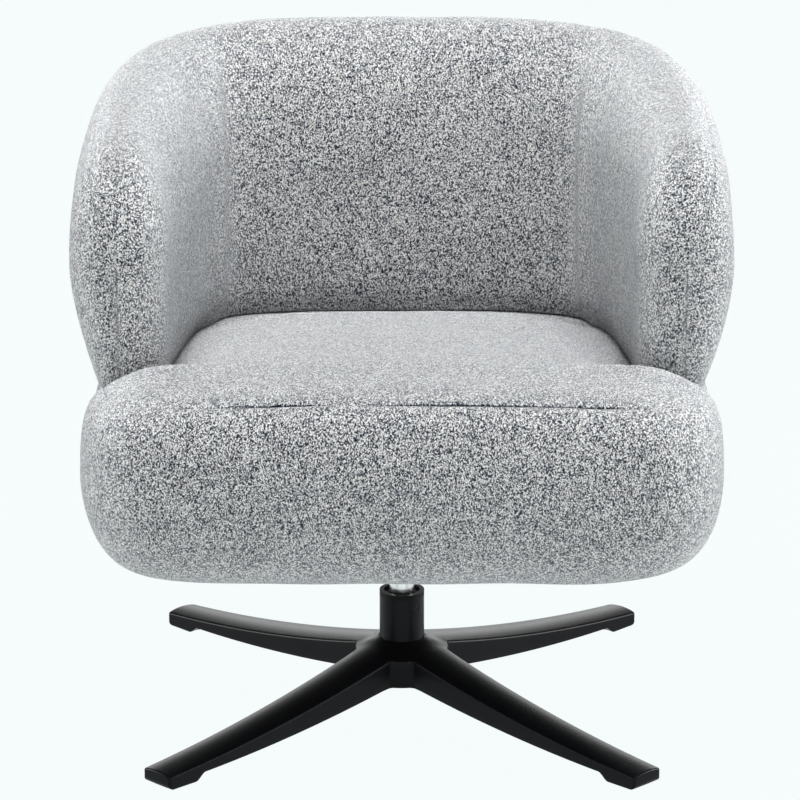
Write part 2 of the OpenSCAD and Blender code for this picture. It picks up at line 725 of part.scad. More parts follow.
module seat_deck() {
    color("#c79a63") difference() {
        translate([0, 0, deck_z]) linear_extrude(height = deck_t) difference() {
            polygon(drum_outline(deck_rho));
            polygon([for (i = [0 : outline_steps - 1]) deck_hole(i * 360 / outline_steps)]);
        }
        at_shell_bolts() translate([0, 0, deck_z - cut])
            cylinder(h = deck_t + 2 * cut, d = bolt_hole_d, $fn = small_fn);
        at_wood_screws() translate([0, 0, deck_top_z]) mirror([0, 0, 1]) wood_screw(wood_hole_gap);
    }
}
module board_screws() {
    color("#c8b370") at_wood_screws() translate([0, 0, board_z]) wood_screw();
}
module deck_screws() {
    color("#c8b370") at_wood_screws() translate([0, 0, deck_top_z]) mirror([0, 0, 1]) wood_screw();
}
strap_spots = [-2, -1, 0, 1, 2];
module webbing() {
    span = 2 * (deck_opening + strap_hold);
    pitch = strap_w * strap_pitch;
    color("#3d3a36") for (k = strap_spots) {
        translate([-span / 2, deck_mid_y + k * pitch - strap_w / 2, deck_top_z])
            cube([span, strap_w, strap_t]);
        translate([k * pitch - strap_w / 2, deck_mid_y - span / 2, deck_top_z + strap_t])
            cube([strap_w, span, strap_t]);
    }
}

// Seat upholstery
module frame_space() {
    x = rail_out_x + soft_gap;
    f = rail_front_y - soft_gap;
    r = rail_rear_y + soft_gap;
    translate([0, 0, drum_bottom_z]) linear_extrude(height = rail_z + soft_gap - drum_bottom_z)
        polygon(drum_outline(board_rho + 0.002));
    translate([0, 0, rail_z]) linear_extrude(height = rail_h + cut) polygon([
        [-front_len / 2, f], [front_len / 2, f], [x, side_front_y], [x, side_rear_y], [rear_len / 2, r],
        [-rear_len / 2, r], [-x, side_rear_y], [-x, side_front_y]]);
    translate([0, 0, deck_z - soft_gap]) linear_extrude(height = deck_t + drum_joint_h)
        polygon(drum_outline(deck_rho + 0.002));
}
module border_foam() {
    color("#e8dca8") difference() {
        drum_solid(fabric_t + soft_gap);
        frame_space();
        translate([-drum_w, -drum_w, foam_split_z - soft_gap]) cube([2 * drum_w, 2 * drum_w, drum_w]);
        at_shell_bolts() translate([0, 0, deck_z - 3 * bolt_head_t])
            cylinder(h = 3 * bolt_head_t + cut, d = bolt_washer_d + 4, $fn = 32);
    }
}
module bolt_passage() {
    at_shell_bolts() translate([0, 0, deck_z]) cylinder(h = 3 * deck_t, d = bolt_hole_d, $fn = 24);
}
module seat_foam() {
    color("#e8dca8") difference() {
        drum_solid(fabric_t + soft_gap);
        translate([-drum_w, -drum_w, 0]) cube([2 * drum_w, 2 * drum_w, foam_split_z]);
        bolt_passage();
    }
}
module seat_border_cover() {
    outer = concat([top_rings(0)[8]], side_rings(0), low_ring_set(0));
    inner = concat([top_rings(fabric_t)[8]], side_rings(fabric_t), low_ring_set(fabric_t));
    color("#9aa0a6") ring_solid(concat(outer, reversed(inner)), joined = true, ring_fold = len(outer));
}
module seat_top_cover() {
    color("#a7abb0") difference() {
        ring_solid(concat(top_rings(0), reversed(top_rings(fabric_t))), ring_fold = len(top_rings(0)));
        bolt_passage();
    }
}

// Back and arm shell
module shell_bolts() {
    grip = core_z + nut_flange_t + bolt_spare - deck_z + bolt_washer_t;
    color("#8b8e92") at_shell_bolts() translate([0, 0, deck_z - bolt_washer_t]) hex_bolt(grip);
}
module shell_washers() {
    color("#a9acb0") at_shell_bolts() translate([0, 0, deck_z - bolt_washer_t]) flat_washer();
}
module shell_nuts() {
    color("#b9a25c") at_shell_bolts() translate([0, 0, core_z]) barrel_nut();
}
// Plan of the plywood rail under the shell, grown by a gap. Its stations lie between the core's.
rail_stations = concat(
    [for (k = [0 : arm_steps - 1]) arm_station(k + rail_station_shift, 1)],
    [for (k = [0 : back_steps - 1]) back_station(k + 0.5)],
    [for (k = [arm_steps - 1 : -1 : 0]) arm_station(k + rail_station_shift, -1)]);
function aside(st, out) = [st[0] + st[2] * out, st[1] + st[3] * out];
function foot_rail_plan(gap) = let (kept = [for (st = rail_stations) if (st[4] >= core_setback) st])
    concat([for (st = kept) aside(st, foot_rail_out + gap)],
        [for (st = reversed(kept)) aside(st, -foot_rail_in - gap)]);
module shell_foot_rail() {
    color("#c79a63") difference() {
        translate([0, 0, foot_rail_z]) linear_extrude(height = foot_rail_t) polygon(foot_rail_plan(0));
        at_shell_bolts() translate([0, 0, foot_rail_z - cut])
            cylinder(h = foot_rail_t + 2 * cut, d = nut_hole_d, $fn = small_fn);
    }
}
module shell_core() {
    color("#cda26a") difference() {
        shell_board(core_t / 2, core_t / 2, core_z, core_top_gap, core_setback);
        at_shell_bolts() translate([0, 0, core_z - cut])
            cylinder(h = 3 * nut_flange_t + bolt_spare + cut, d = nut_flange_d + 4, $fn = 32);
    }
}
module shell_foam() {
    color("#e8dca8") difference() {
        shell_block(fabric_t + soft_gap);
        shell_board(core_t / 2 + soft_gap, core_t / 2 + soft_gap, core_z - cut, core_top_gap,
            core_setback - 1, soft_gap);
        translate([0, 0, joint_z]) linear_extrude(height = core_z + soft_gap - joint_z)
            polygon(foot_rail_plan(soft_gap));
        at_shell_bolts() translate([0, 0, core_z])
            cylinder(h = 3 * nut_flange_t + bolt_spare, d = nut_flange_d + 4, $fn = 32);
        bolt_passage();
    }
}
module shell_inner_cover() {
    color("#a7abb0") shell_skin(inner_turns);
}
module shell_outer_cover() {
    color("#9aa0a6") shell_skin(outer_turns);
}

star_base();
foot_glides();
column_tube();
guide_bush();
bush_screw();
buffer_ring();
lower_race();
ball_cage();
bearing_balls();
spindle();
upper_race();
spindle_washer();
spindle_clip();
swivel_plate();
plate_bolts();
plate_washers();
plate_nuts();
dust_cover();
bottom_board();
front_rail();
rear_rail();
left_rail();
right_rail();
corner_blocks();
seat_deck();
board_screws();
deck_screws();
webbing();
border_foam();
seat_foam();
seat_border_cover();
seat_top_cover();
shell_bolts();
shell_washers();
shell_nuts();
shell_foot_rail();
shell_core();
shell_foam();
shell_inner_cover();
shell_outer_cover();
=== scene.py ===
import json
import math
from functools import partial

import bpy
import numpy as np
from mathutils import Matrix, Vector


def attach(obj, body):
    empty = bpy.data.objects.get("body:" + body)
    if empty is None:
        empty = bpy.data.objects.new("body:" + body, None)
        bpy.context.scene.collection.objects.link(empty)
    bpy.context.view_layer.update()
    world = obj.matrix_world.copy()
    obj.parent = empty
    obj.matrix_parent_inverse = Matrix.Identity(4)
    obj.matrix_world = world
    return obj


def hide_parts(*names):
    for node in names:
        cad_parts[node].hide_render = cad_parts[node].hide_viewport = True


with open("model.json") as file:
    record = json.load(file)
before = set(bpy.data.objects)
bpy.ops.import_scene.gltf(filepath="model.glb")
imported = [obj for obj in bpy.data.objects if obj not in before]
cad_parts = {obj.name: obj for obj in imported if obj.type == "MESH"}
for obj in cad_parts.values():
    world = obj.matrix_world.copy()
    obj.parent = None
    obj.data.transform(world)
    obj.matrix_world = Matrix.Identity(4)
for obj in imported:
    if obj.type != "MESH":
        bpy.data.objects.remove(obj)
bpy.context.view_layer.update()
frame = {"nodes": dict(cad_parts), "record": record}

# Camera: a long lens, square to the front and tilted down
LENS, SENSOR, VIEW_END = 187.4, 36, 60
CAMERA_AT = (-0.0021, -4.40, 1.677)
DOWN_TILT = 16.74

cam_data = bpy.data.cameras.new("camera")
cam_data.lens = LENS
cam_data.sensor_width = SENSOR
cam_data.clip_end = VIEW_END
camera = bpy.data.objects.new("camera", cam_data)
camera.location = CAMERA_AT
camera.rotation_euler = (math.radians(90 - DOWN_TILT), 0, 0)
bpy.context.collection.objects.link(camera)
bpy.context.scene.camera = camera

# Seat drum, in metres: superellipses in plan and in section, above and below its belly
HALF_W, FRONT, BACK = 0.341, 0.3475, 0.326
BOTTOM_Z, BELLY_Z, JOINT_Z, CROWN_Z = 0.233, 0.339, 0.397, 0.459
FRONT_POWER, BACK_POWER = 7.5, 3.2
LOW_PLAN, LOW_RISE = 13, 1.65
TOP_PLAN, TOP_RISE = 15, 3.5
INSET_POWER = 8
# The drum's shoulder is rounder under the shell than at the front
SIDE_ROUND, ROUND_FROM, ROUND_RUN = 1.3, -0.24, 0.10
# The seam lies at this turn of the upper section, and the cover ends under the seat at the flange
SEAM_TURN = math.radians(35)
SEAM_RHO = math.sin(SEAM_TURN) ** (2 / TOP_PLAN)
FLANGE_RHO = 0.66
LOW_END = math.asin(FLANGE_RHO ** (LOW_PLAN / 2))
# The seat's face falls from its crest to the rear and to the sides
CREST_Y, SLOPE = -0.220, 0.125
SIDE_FALL, SIDE_FALL_POWER = 0.014, 2.5
# It dips along the arms, rolls up at each arm's inner corner and rises to the crest ahead of the arms
VALLEY_DEPTH, VALLEY_W, VALLEY_POWER, VALLEY_RUN = 0.018, 0.080, 1.5, 0.06
ROLL_H, ROLL_X, ROLL_Y, ROLL_W = 0.008, 0.250, -0.222, 0.038
NOSE_CLEAR, NOSE_RISE = -0.001, 0.019

# Shell of back and arms, in metres: a section that follows a path round the seat
SHELL_W, SHELL_T, SHELL_H = 0.703, 0.1024, 0.323
SHELL_OUT = SHELL_T * 0.492
SHELL_IN = SHELL_T - SHELL_OUT
PATH_HALF = SHELL_W / 2 - SHELL_OUT
PATH_Y, PATH_DEPTH, PATH_POWER = -0.020, 0.275, 3.37
ARM_REACH = 0.205
ARM_LEN = ARM_REACH + PATH_Y
TOE_IN = 0.1
ARM_DROP, CORNER_DROP = 0.045, 0.0035
BACK_LEAN, LEAN_PULL, LEAN_RUN = 0.0585, 0.04, 0.240
LEAN_FROM, LEAN_SHORT = 0.010, 0.014
SIDE_POWER, TOP_POWER, LOW_SIDE_POWER, INSET_SIDE_POWER = 2.65, 2.45, 2.0, 0.3
ARM_MID, BACK_MID = 0.154, 0.172
FOOT_OUT_H, FOOT_IN_H = 0.026, 0.030
FOOT_OUT_POWER, FOOT_IN_POWER = 1.75, 5
NOSE_PLAN, NOSE_TOP, NOSE_POWER = 0.050, 0.090, 2.3
NOSE_PLAN_LEAST, NOSE_TOP_LEAST = 0.005, 0.03
SEAM_ANGLE = math.radians(60)
FIRST_TURN, LAST_TURN = math.radians(-89.9), math.radians(270)
# The padding is fuller at the arms' rear, and its inner face turns into the back at a crisp corner
SWELL, SWELL_FROM, SWELL_RUN, SWELL_TO, SWELL_FADE = 0.022, -0.10, 0.20, 0.185, 0.045

# Outline of the seat's free face between the arms
CUSHION_HALF = SHELL_W / 2 - SHELL_T
CUSHION_CLEAR = 0.001
CUSHION_DEPTH = PATH_Y + PATH_DEPTH - SHELL_IN - CUSHION_CLEAR
CUSHION_POWER, CUSHION_EDGE = 3.6, 0.018

# Fabric: grid rows beside a seam, room for the swelling, most swelling, and the share that the foam allows
SEAM_NEAR = np.array([0, 0.0006, 0.0013, 0.0022, 0.0034, 0.005, 0.0075])
PUFF_INSET, PUFF_CAP, PUFF_SHARE = 0.0010, 0.004, 0.7
PRESSURE, STIFFNESS, BENDING, CLOTH_MASS = 4.0, 15.0, 2.0, 0.3
PUFF_FRAMES, CLOTH_QUALITY = 20, 4
RIPPLE = 0.0006
GATHER, GATHER_W, GATHER_RUN = 0.0005, 0.022, 0.012
SKIN = 0.0022
REST_GAP = 0.0006
# The front seam is drawn tight between its ends, unevenly
PULL_MEAN, PULL_SPREAD, PULL_LEAST, PULL_SCALE = 0.55, 0.75, 0.05, 0.10
PULL_END_X, PULL_END_RUN = 0.245, 0.05
PULL_FRONT_Y, PULL_FRONT_RUN = -0.26, 0.03
SEAM_SHADE_W = 0.0008

# Wave counts and shares of the seeded noise
WAVES, FINER, WEAKER, WAVE_PEAK = 6, 1.7, 0.6, 1.6


def add_object(name, verts, faces):
    mesh = bpy.data.meshes.new(name)
    mesh.from_pydata([tuple(v) for v in verts], [], [tuple(int(i) for i in f) for f in faces])
    mesh.update()
    mesh.polygons.foreach_set("use_smooth", [True] * len(mesh.polygons))
    obj = bpy.data.objects.new(name, mesh)
    bpy.context.collection.objects.link(obj)
    return obj


def spow(v, p):
    return np.sign(v) * np.abs(v) ** p


def smooth(t):
    k = np.clip(t, 0, 1)
    return k * k * (3 - 2 * k)


def lengths(points):
    """Length along a line of points, from its first point to each."""
    return np.r_[0, np.cumsum(np.linalg.norm(np.diff(points, axis=0), axis=1))]


def stitch(rows, columns, offset=0, closed=True):
    """Quads between rows of a grid. In a closed one the last column joins the first."""
    i, j = np.meshgrid(np.arange(rows - 1), np.arange(columns if closed else columns - 1), indexing="ij")
    i, j = i.ravel(), j.ravel()
    here, beside = i * columns + j, i * columns + (j + 1) % columns
    return offset + np.stack([here, beside, beside + columns, here + columns], -1)


def band(a, b):
    """Quads between two closed loops of vertex numbers."""
    return np.stack([a, np.roll(a, -1), np.roll(b, -1), b], -1)


def normals_of(verts, faces):
    total = np.zeros_like(verts)
    p = verts[faces]
    n = np.cross(p[:, 2] - p[:, 0], p[:, 3] - p[:, 1])
    for c in range(4):
        np.add.at(total, faces[:, c], n)
    return total / np.maximum(np.linalg.norm(total, axis=1, keepdims=True), 1e-12)


def wobble(p, seed, scale, octaves=2):
    """Smooth seeded noise of a point array, about -1 to 1, with features of about scale metres."""
    rng = np.random.default_rng(seed)
    total = np.zeros(len(p))
    size = 0.0
    for o in range(octaves):
        for _ in range(WAVES):
            k = rng.normal(size=3)
            k *= 2 * math.pi / (scale / FINER ** o) / np.linalg.norm(k)
            total += np.sin(p @ k + rng.uniform(0, 2 * math.pi)) * WEAKER ** o
        size += WAVES * WEAKER ** (2 * o) / 2
    return total / math.sqrt(size) / WAVE_PEAK


def read_grid(values, rows_at, cols_at):
    """Bilinear reading of a grid whose columns close on themselves."""
    n, m = values.shape
    r0 = np.clip(rows_at.astype(int), 0, n - 2)
    rw = (rows_at - r0)[:, None]
    c0 = np.floor(cols_at).astype(int) % m
    c1 = (c0 + 1) % m
    cw = (cols_at - np.floor(cols_at))[None]
    top = values[r0][:, c0] * (1 - cw) + values[r0][:, c1] * cw
    low = values[r0 + 1][:, c0] * (1 - cw) + values[r0 + 1][:, c1] * cw
    return top * (1 - rw) + low * rw


def read_square(values, count, at_a, at_b):
    """Bilinear reading of a square grid's values at places in units of its steps."""
    grid = values.reshape(2 * count + 1, 2 * count + 1)
    a, b = [np.clip(at + count, 0, 2 * count - 1e-6) for at in (at_a, at_b)]
    i, j = a.astype(int), b.astype(int)
    u, v = a - i, b - j
    return (grid[i, j] * (1 - u) * (1 - v) + grid[i + 1, j] * u * (1 - v)
            + grid[i, j + 1] * (1 - u) * v + grid[i + 1, j + 1] * u * v)


# Fabric under pressure, its seams and its gathers
def cloth_shape(obj):
    made = obj.evaluated_get(bpy.context.evaluated_depsgraph_get()).to_mesh()
    out = np.empty(len(made.vertices) * 3)
    made.vertices.foreach_get("co", out)
    return out.reshape(-1, 3)


def puffed(name, verts, faces, pins):
    """How far fabric under pressure moves, in a cloth simulation. pins holds a weight per vertex."""
    obj = add_object(name, verts, faces)
    group = obj.vertex_groups.new(name="pins")
    for weight in np.unique(np.round(pins, 2)):
        if weight > 0:
            group.add([int(i) for i in np.nonzero(np.round(pins, 2) == weight)[0]], float(weight), "REPLACE")
    cloth = obj.modifiers.new("cloth", "CLOTH")
    settings = cloth.settings
    settings.quality = CLOTH_QUALITY
    settings.mass = CLOTH_MASS
    settings.tension_stiffness = settings.compression_stiffness = settings.shear_stiffness = STIFFNESS
    settings.bending_stiffness = BENDING
    settings.use_pressure = True
    settings.uniform_pressure_force = PRESSURE
    settings.vertex_group_mass = "pins"
    settings.effector_weights.gravity = 0
    cloth.collision_settings.use_collision = False
    cloth.point_cache.frame_start = 1
    cloth.point_cache.frame_end = PUFF_FRAMES
    scene = bpy.context.scene
    for f in range(1, PUFF_FRAMES + 1):
        scene.frame_set(f)
    moved = cloth_shape(obj) - verts
    bpy.data.objects.remove(obj, do_unlink=True)
    scene.frame_set(1)
    length = np.linalg.norm(moved, axis=1, keepdims=True)
    return moved * (PUFF_CAP * np.tanh(length / PUFF_CAP) / np.maximum(length, 1e-9))


def held_back(out):
    """The foam under the fabric lets it swell a little, and not shrink."""
    return np.where(out < 0, 0.0, PUFF_SHARE * out)


def ripple(p, seed, scale):
    return RIPPLE * wobble(p, seed, scale)


def gathers(p, distance, seed):
    """Small folds that run away from a seam and die out."""
    return GATHER * wobble(p, seed, GATHER_W, 1) * np.exp(-distance / GATHER_RUN)


def seam_dip(distance, depth=0.0016, width=0.0022):
    return depth * np.exp(-(distance / width) ** 2)


def tight_seam(distance, across):
    """The stitched seam across the seat's front: a fine groove inside a soft dip."""
    soft = seam_dip(distance, depth=0.0008, width=0.0034)
    return soft + across * seam_dip(distance, depth=0.0018, width=0.0010)


def drawn_tight(p):
    """How tight the seam across the seat's front is drawn: uneven along it, and 0 past its ends."""
    uneven = wobble(p * (1, 0, 0), 21, PULL_SCALE, 1)
    pull = np.clip(PULL_MEAN + PULL_SPREAD * uneven, PULL_LEAST, 1)
    ends = smooth((PULL_END_X - np.abs(p[:, 0])) / PULL_END_RUN)
    return pull * ends * smooth((PULL_FRONT_Y - p[:, 1]) / PULL_FRONT_RUN)


def shade_seam(obj, distance, p):
    """Share of thread and shadow at each vertex, strongest where the seam is pulled tight."""
    share = np.exp(-(distance / SEAM_SHADE_W) ** 2) * drawn_tight(p)
    layer = obj.data.attributes.new("seam", "FLOAT", "POINT")
    values = np.zeros(len(obj.data.vertices), dtype=np.float32)
    values[:len(share)] = share
    layer.data.foreach_set("value", values)


# Surface of the seat drum
def drum_xy(turn, rho, inset=0.0):
    """Plan position at a turn round the drum and a share of its outline."""
    front = np.sin(turn) < 0
    n = np.where(front, FRONT_POWER, BACK_POWER)
    depth = np.where(front, FRONT, BACK)
    drawn = inset * rho ** INSET_POWER
    x = rho * (HALF_W - drawn) * spow(np.cos(turn), 2 / n)
    y = rho * (depth - drawn) * spow(np.sin(turn), 2 / n)
    return x, y


def cushion_ratio(x, y):
    """Below 1 on the seat's free face, and above 1 under the shell."""
    return ((np.abs(x) / CUSHION_HALF) ** CUSHION_POWER
            + (np.maximum(y, 0) / CUSHION_DEPTH) ** CUSHION_POWER) ** (1 / CUSHION_POWER)


def seat_z(x, y):
    """Height of the seat's face, and of the joint with the shell outside it."""
    fall = SLOPE * np.maximum(y - CREST_Y, 0) + SIDE_FALL * (np.abs(x) / HALF_W) ** SIDE_FALL_POWER
    from_arm = (1 - cushion_ratio(x, y)) * CUSHION_HALF
    valley = smooth(1 - from_arm / VALLEY_W) ** VALLEY_POWER * smooth((y - CREST_Y) / VALLEY_RUN)
    roll = np.exp(-((np.abs(x) - ROLL_X) / ROLL_W) ** 2 - ((y - ROLL_Y) / ROLL_W) ** 2)
    raised = CROWN_Z - fall - VALLEY_DEPTH * valley + ROLL_H * roll
    inside = smooth(from_arm / CUSHION_EDGE)
    ahead = smooth((-ARM_REACH - NOSE_CLEAR - y) / NOSE_RISE)
    return JOINT_Z + (raised - JOINT_Z) * np.maximum(inside, ahead)


def top_rise(y, rho):
    """Share of the drum's height above its belly."""
    power = TOP_RISE - SIDE_ROUND * smooth((y - ROUND_FROM) / ROUND_RUN)
    return np.maximum(1 - np.minimum(rho, 1) ** TOP_PLAN, 0) ** (1 / power)


def top_point(turn, rho):
    x, y = drum_xy(turn, rho, PUFF_INSET)
    return np.stack([x, y, BELLY_Z + (seat_z(x, y) - PUFF_INSET - BELLY_Z) * top_rise(y, rho)], -1)


def low_point(turn, rho):
    x, y = drum_xy(turn, rho, PUFF_INSET)
    fall = (BELLY_Z - BOTTOM_Z - PUFF_INSET) * max(1 - rho ** LOW_PLAN, 0) ** (1 / LOW_RISE)
    return np.stack([x, y, np.full_like(x, BELLY_Z - fall)], -1)


def drum_top_z(x, y):
    """Height of the drum's upper surface over a point, and the share of the outline that it lies at."""
    n = np.where(y < 0, FRONT_POWER, BACK_POWER)
    depth = np.where(y < 0, FRONT, BACK)
    rho = ((np.abs(x) / HALF_W) ** n + (np.abs(y) / depth) ** n) ** (1 / n)
    return BELLY_Z + (seat_z(x, y) - BELLY_Z) * top_rise(y, rho), rho


OUTLINE_SAMPLES, PROFILE_SAMPLES, PATH_SAMPLES = 2400, 3000, 6001


def side_table(side):
    """Share of the length of one of the outline's four sides, against turn."""
    turns = math.radians(90 * side - 45) + np.linspace(0, math.pi / 2, OUTLINE_SAMPLES)
    along = lengths(np.stack(drum_xy(turns, 1.0), -1))
    return along / along[-1], turns


SIDE_TABLES = [side_table(side) for side in range(4)]


def turn_at(side, share):
    """Turns at even steps of length along the outline's sides."""
    out = np.zeros(len(side))
    for s, table in enumerate(SIDE_TABLES):
        out[side == s] = np.interp(share[side == s], *table)
    return out


def square_rings(count):
    """Square grid in rings: each vertex's ring, side and share of it, faces, outer loop, and grid counts."""
    n = 2 * count + 1
    steps = np.arange(-count, count + 1)
    a, b = [q.ravel() for q in np.meshgrid(steps, steps, indexing="ij")]
    ring = np.maximum(np.abs(a), np.abs(b))
    right = (a == ring) & (b < ring)
    rear = (b == ring) & (a > -ring)
    left = (a == -ring) & (b > -ring)
    side = np.select([right, rear, left], [0, 1, 2], 3)
    passed = np.select([side == 0, side == 1, side == 2], [b + ring, ring - a, ring - b], a + ring)
    share = passed / (2 * np.maximum(ring, 1))
    index = np.arange(n * n).reshape(n, n)
    faces = np.stack([index[:-1, :-1], index[1:, :-1], index[1:, 1:], index[:-1, 1:]], -1).reshape(-1, 4)
    loop = np.concatenate([index[-1, :-1], index[::-1, -1][:-1], index[0, ::-1][:-1], index[:, 0][:-1]])
    return ring, side, share, faces, loop, (a, b)


def top_grid(count, rhos):
    """Seat's face in square rings: points, faces, outer loop, turns, ring numbers and grid counts."""
    ring, side, share, faces, loop, counts = square_rings(count)
    turns = turn_at(side, share)
    return top_point(turns, rhos[ring]), faces, loop, turns, ring, counts


# The border's profile is measured on a section with these sizes
SECTION_TOP_Z, SECTION_HALF = 0.445, 0.34


def profile_turns(count, near):
    """Profile turns from the seam to the flange, even in length, finer by the seam, and their distances."""
    def point(q):
        up = q < 0.5
        above = SEAM_TURN + (math.pi / 2 - SEAM_TURN) * q * 2
        below = math.pi / 2 - (q - 0.5) * 2 * (math.pi / 2 - LOW_END)
        return np.where(up, above, below), up

    q = np.linspace(0, 1, PROFILE_SAMPLES)
    t, up = point(q)
    rho = np.where(up, np.sin(t) ** (2 / TOP_PLAN), np.sin(t) ** (2 / LOW_PLAN))
    z = np.where(up, BELLY_Z + (SECTION_TOP_Z - BELLY_Z) * np.cos(t) ** (2 / TOP_RISE),
                 BELLY_Z - (BELLY_Z - BOTTOM_Z) * np.cos(t) ** (2 / LOW_RISE))
    along = lengths(np.stack([rho * SECTION_HALF, z], -1))
    at = np.unique(np.r_[near, np.linspace(near[-1], along[-1], count)])
    t, up = point(np.interp(at, along, q))
    return t, up, at


def border_grid(turns, profile, above):
    rows = []
    for t, up in zip(profile, above):
        rho = math.sin(t) ** (2 / (TOP_PLAN if up else LOW_PLAN))
        rows.append(top_point(turns, rho) if up else low_point(turns, rho))
    return np.concatenate(rows)


# Fabric of the seat: steps of the coarse and fine grids, and what holds the fabric during the simulation
COARSE, COARSE_ROWS = 30, 34
FINE, FINE_ROWS = 62, 74
SEAM_PIN, FLANGE_HELD = 0.9, 0.09
PIN_RATIO, PIN_BEHIND, PIN_ABOVE = 0.99, 0.02, 0.385
# The seam's mean distance from the middle, and how much length one unit of rho has there
SEAM_RADIUS, RHO_LENGTH = 0.318, 0.342
FLANGE_FADE = 0.03


def seat_swelling():
    """Swelling of the seat's fabric: on the top's grid, on the border's rows, and the rows' distances."""
    top, top_faces, loop, turns, _, _ = top_grid(COARSE, np.linspace(0, SEAM_RHO, COARSE + 1))
    profile, above, at = profile_turns(COARSE_ROWS, np.array([0.0]))
    side = border_grid(turns[loop], profile, above)
    rows, columns = len(at), len(loop)
    verts = np.concatenate([top, side[columns:], [[0, 0, BOTTOM_Z + PUFF_INSET]]])
    middle = len(verts) - 1
    rings = [loop] + [len(top) + k * columns + np.arange(columns) for k in range(rows - 1)]
    quads = np.concatenate([top_faces] + [band(b, a) for a, b in zip(rings[:-1], rings[1:])])
    fan = [(b, a, middle) for a, b in zip(rings[-1], np.roll(rings[-1], -1))]
    pins = np.zeros(len(verts))
    pins[loop] = SEAM_PIN
    for ids, distance in zip(rings[1:], at[1:]):
        pins[ids] = distance > at[-1] - FLANGE_HELD
    x, y, z = verts.T
    pins[(cushion_ratio(x, y) > PIN_RATIO) & (y > -ARM_REACH + PIN_BEHIND) & (z > PIN_ABOVE)] = 1
    pins[middle] = 1
    moved = puffed("seat_fabric", verts, list(quads) + fan, pins)
    out = held_back(np.sum(moved * normals_of(verts, quads), axis=1))
    return out[:len(top)], out[np.concatenate(rings)].reshape(rows, columns), at


def seat_face(swelling):
    """Seat's upper face: points, faces, outer loop, turns, ring numbers and distances from the seam."""
    p, faces, loop, turns, ring, (a, b) = top_grid(FINE, FINE_RHO)
    scale = np.where(ring > 0, FINE_RHO[ring] / SEAM_RHO * COARSE / np.maximum(ring, 1), 0)
    away = (SEAM_RHO - FINE_RHO[ring]) * RHO_LENGTH
    out = (read_square(swelling, COARSE, a * scale, b * scale) + ripple(p, 3, 0.13)
           - tight_seam(away, drawn_tight(p)) + gathers(p, away, 5))
    return p + normals_of(p, faces) * out[:, None], faces, loop, turns, ring, away


def border_face(swelling, swelling_at, turns):
    """Border's outer face: points, faces, and each row's distance from the seam."""
    profile, above, at = profile_turns(FINE_ROWS, SEAM_NEAR)
    p = border_grid(turns, profile, above)
    faces = stitch(len(at), len(turns))[:, ::-1]
    rows_at = np.interp(at, swelling_at, np.arange(len(swelling_at)))
    lift = read_grid(swelling, rows_at, np.arange(len(turns)) * swelling.shape[1] / len(turns)).ravel()
    away = np.repeat(at, len(turns))
    out = lift + ripple(p, 4, 0.14) - tight_seam(away, drawn_tight(p)) + gathers(p, away, 6)
    out *= 1 - smooth((away - (at[-1] - FLANGE_FADE)) / FLANGE_FADE)
    return p + normals_of(p, faces) * out[:, None], faces, at


NEAR_RHO = SEAM_RHO * (1 - SEAM_NEAR[::-1] / SEAM_RADIUS)
FINE_RHO = np.r_[np.linspace(0, NEAR_RHO[0], FINE - len(NEAR_RHO) + 2)[:-1], NEAR_RHO]
top_swelling, border_swelling, border_swelling_at = seat_swelling()
top_points, top_faces, top_loop, top_turns, top_ring, top_away = seat_face(top_swelling)
border_points, border_faces, border_at = border_face(border_swelling, border_swelling_at, top_turns[top_loop])
# The two panels share one seam line
border_points[:len(top_loop)] = top_points[top_loop]

# Seat top: a padded block whose underside lies on the deck
FOAM_SPLIT, UNDER_IN = 0.3864, 0.012


def seat_top_piece():
    under_rho = FINE_RHO * (SEAM_RHO - UNDER_IN) / SEAM_RHO
    x, y = drum_xy(top_turns, under_rho[top_ring])
    under = np.stack([x, y, np.full(len(x), FOAM_SPLIT)], -1)
    count = len(top_points)
    faces = [top_faces, top_faces[:, ::-1] + count, band(top_loop + count, top_loop)]
    return add_object("seat_top", np.concatenate([top_points, under]), np.concatenate(faces))


# Seat border: a padded wall whose inner face is drawn in from the outer one, less near its edges
WALL, WALL_ROWS = 0.016, 30
WALL_LOW_RUN, WALL_TOP_RUN, WALL_TOP_FROM = 0.10, 0.03, 0.15


def seat_border_piece():
    rows, columns = len(border_at), len(top_loop)
    outer = border_points.reshape(rows, columns, 3)
    norms = normals_of(border_points, border_faces).reshape(rows, columns, 3)
    pick = np.unique(np.linspace(0, rows - 1, WALL_ROWS).astype(int))[::-1]
    full = (smooth((border_at[-1] - border_at[pick]) / WALL_LOW_RUN)
            * smooth(border_at[pick] / WALL_TOP_RUN + WALL_TOP_FROM))
    inner = outer[pick] - norms[pick] * (SKIN + (WALL - SKIN) * full)[:, None, None]
    first_inner, last_inner = len(border_points), len(border_points) + (len(pick) - 1) * columns
    ring = np.arange(columns)
    faces = [border_faces, stitch(len(pick), columns, offset=first_inner)[:, ::-1],
             band((rows - 1) * columns + ring, first_inner + ring)[:, ::-1],
             band(last_inner + ring, ring)[:, ::-1]]
    verts = np.concatenate([border_points, inner.reshape(-1, 3)])
    return add_object("seat_border", verts, np.concatenate(faces))


seat_top = seat_top_piece()
shade_seam(seat_top, top_away, top_points)
seat_border = seat_border_piece()
shade_seam(seat_border, np.repeat(border_at, len(top_loop)), border_points)

# Shell: stations along the arms and the back, and turns round the section
ARM_STATIONS, BACK_STATIONS, ARM_CROWD = 56, 190, 1.6
FINE_STEP, COARSE_STEP = 0.0055, 0.012
FOOT_PIN_H, ARM_END_PIN, ARM_END_REACH = 0.012, 0.8, 0.004
DEEP_INSET = 0.0036
END_FADE, END_LEAST = 0.010, 0.05
SKIN_NOSE, SKIN_LEAST = 0.02, 0.03


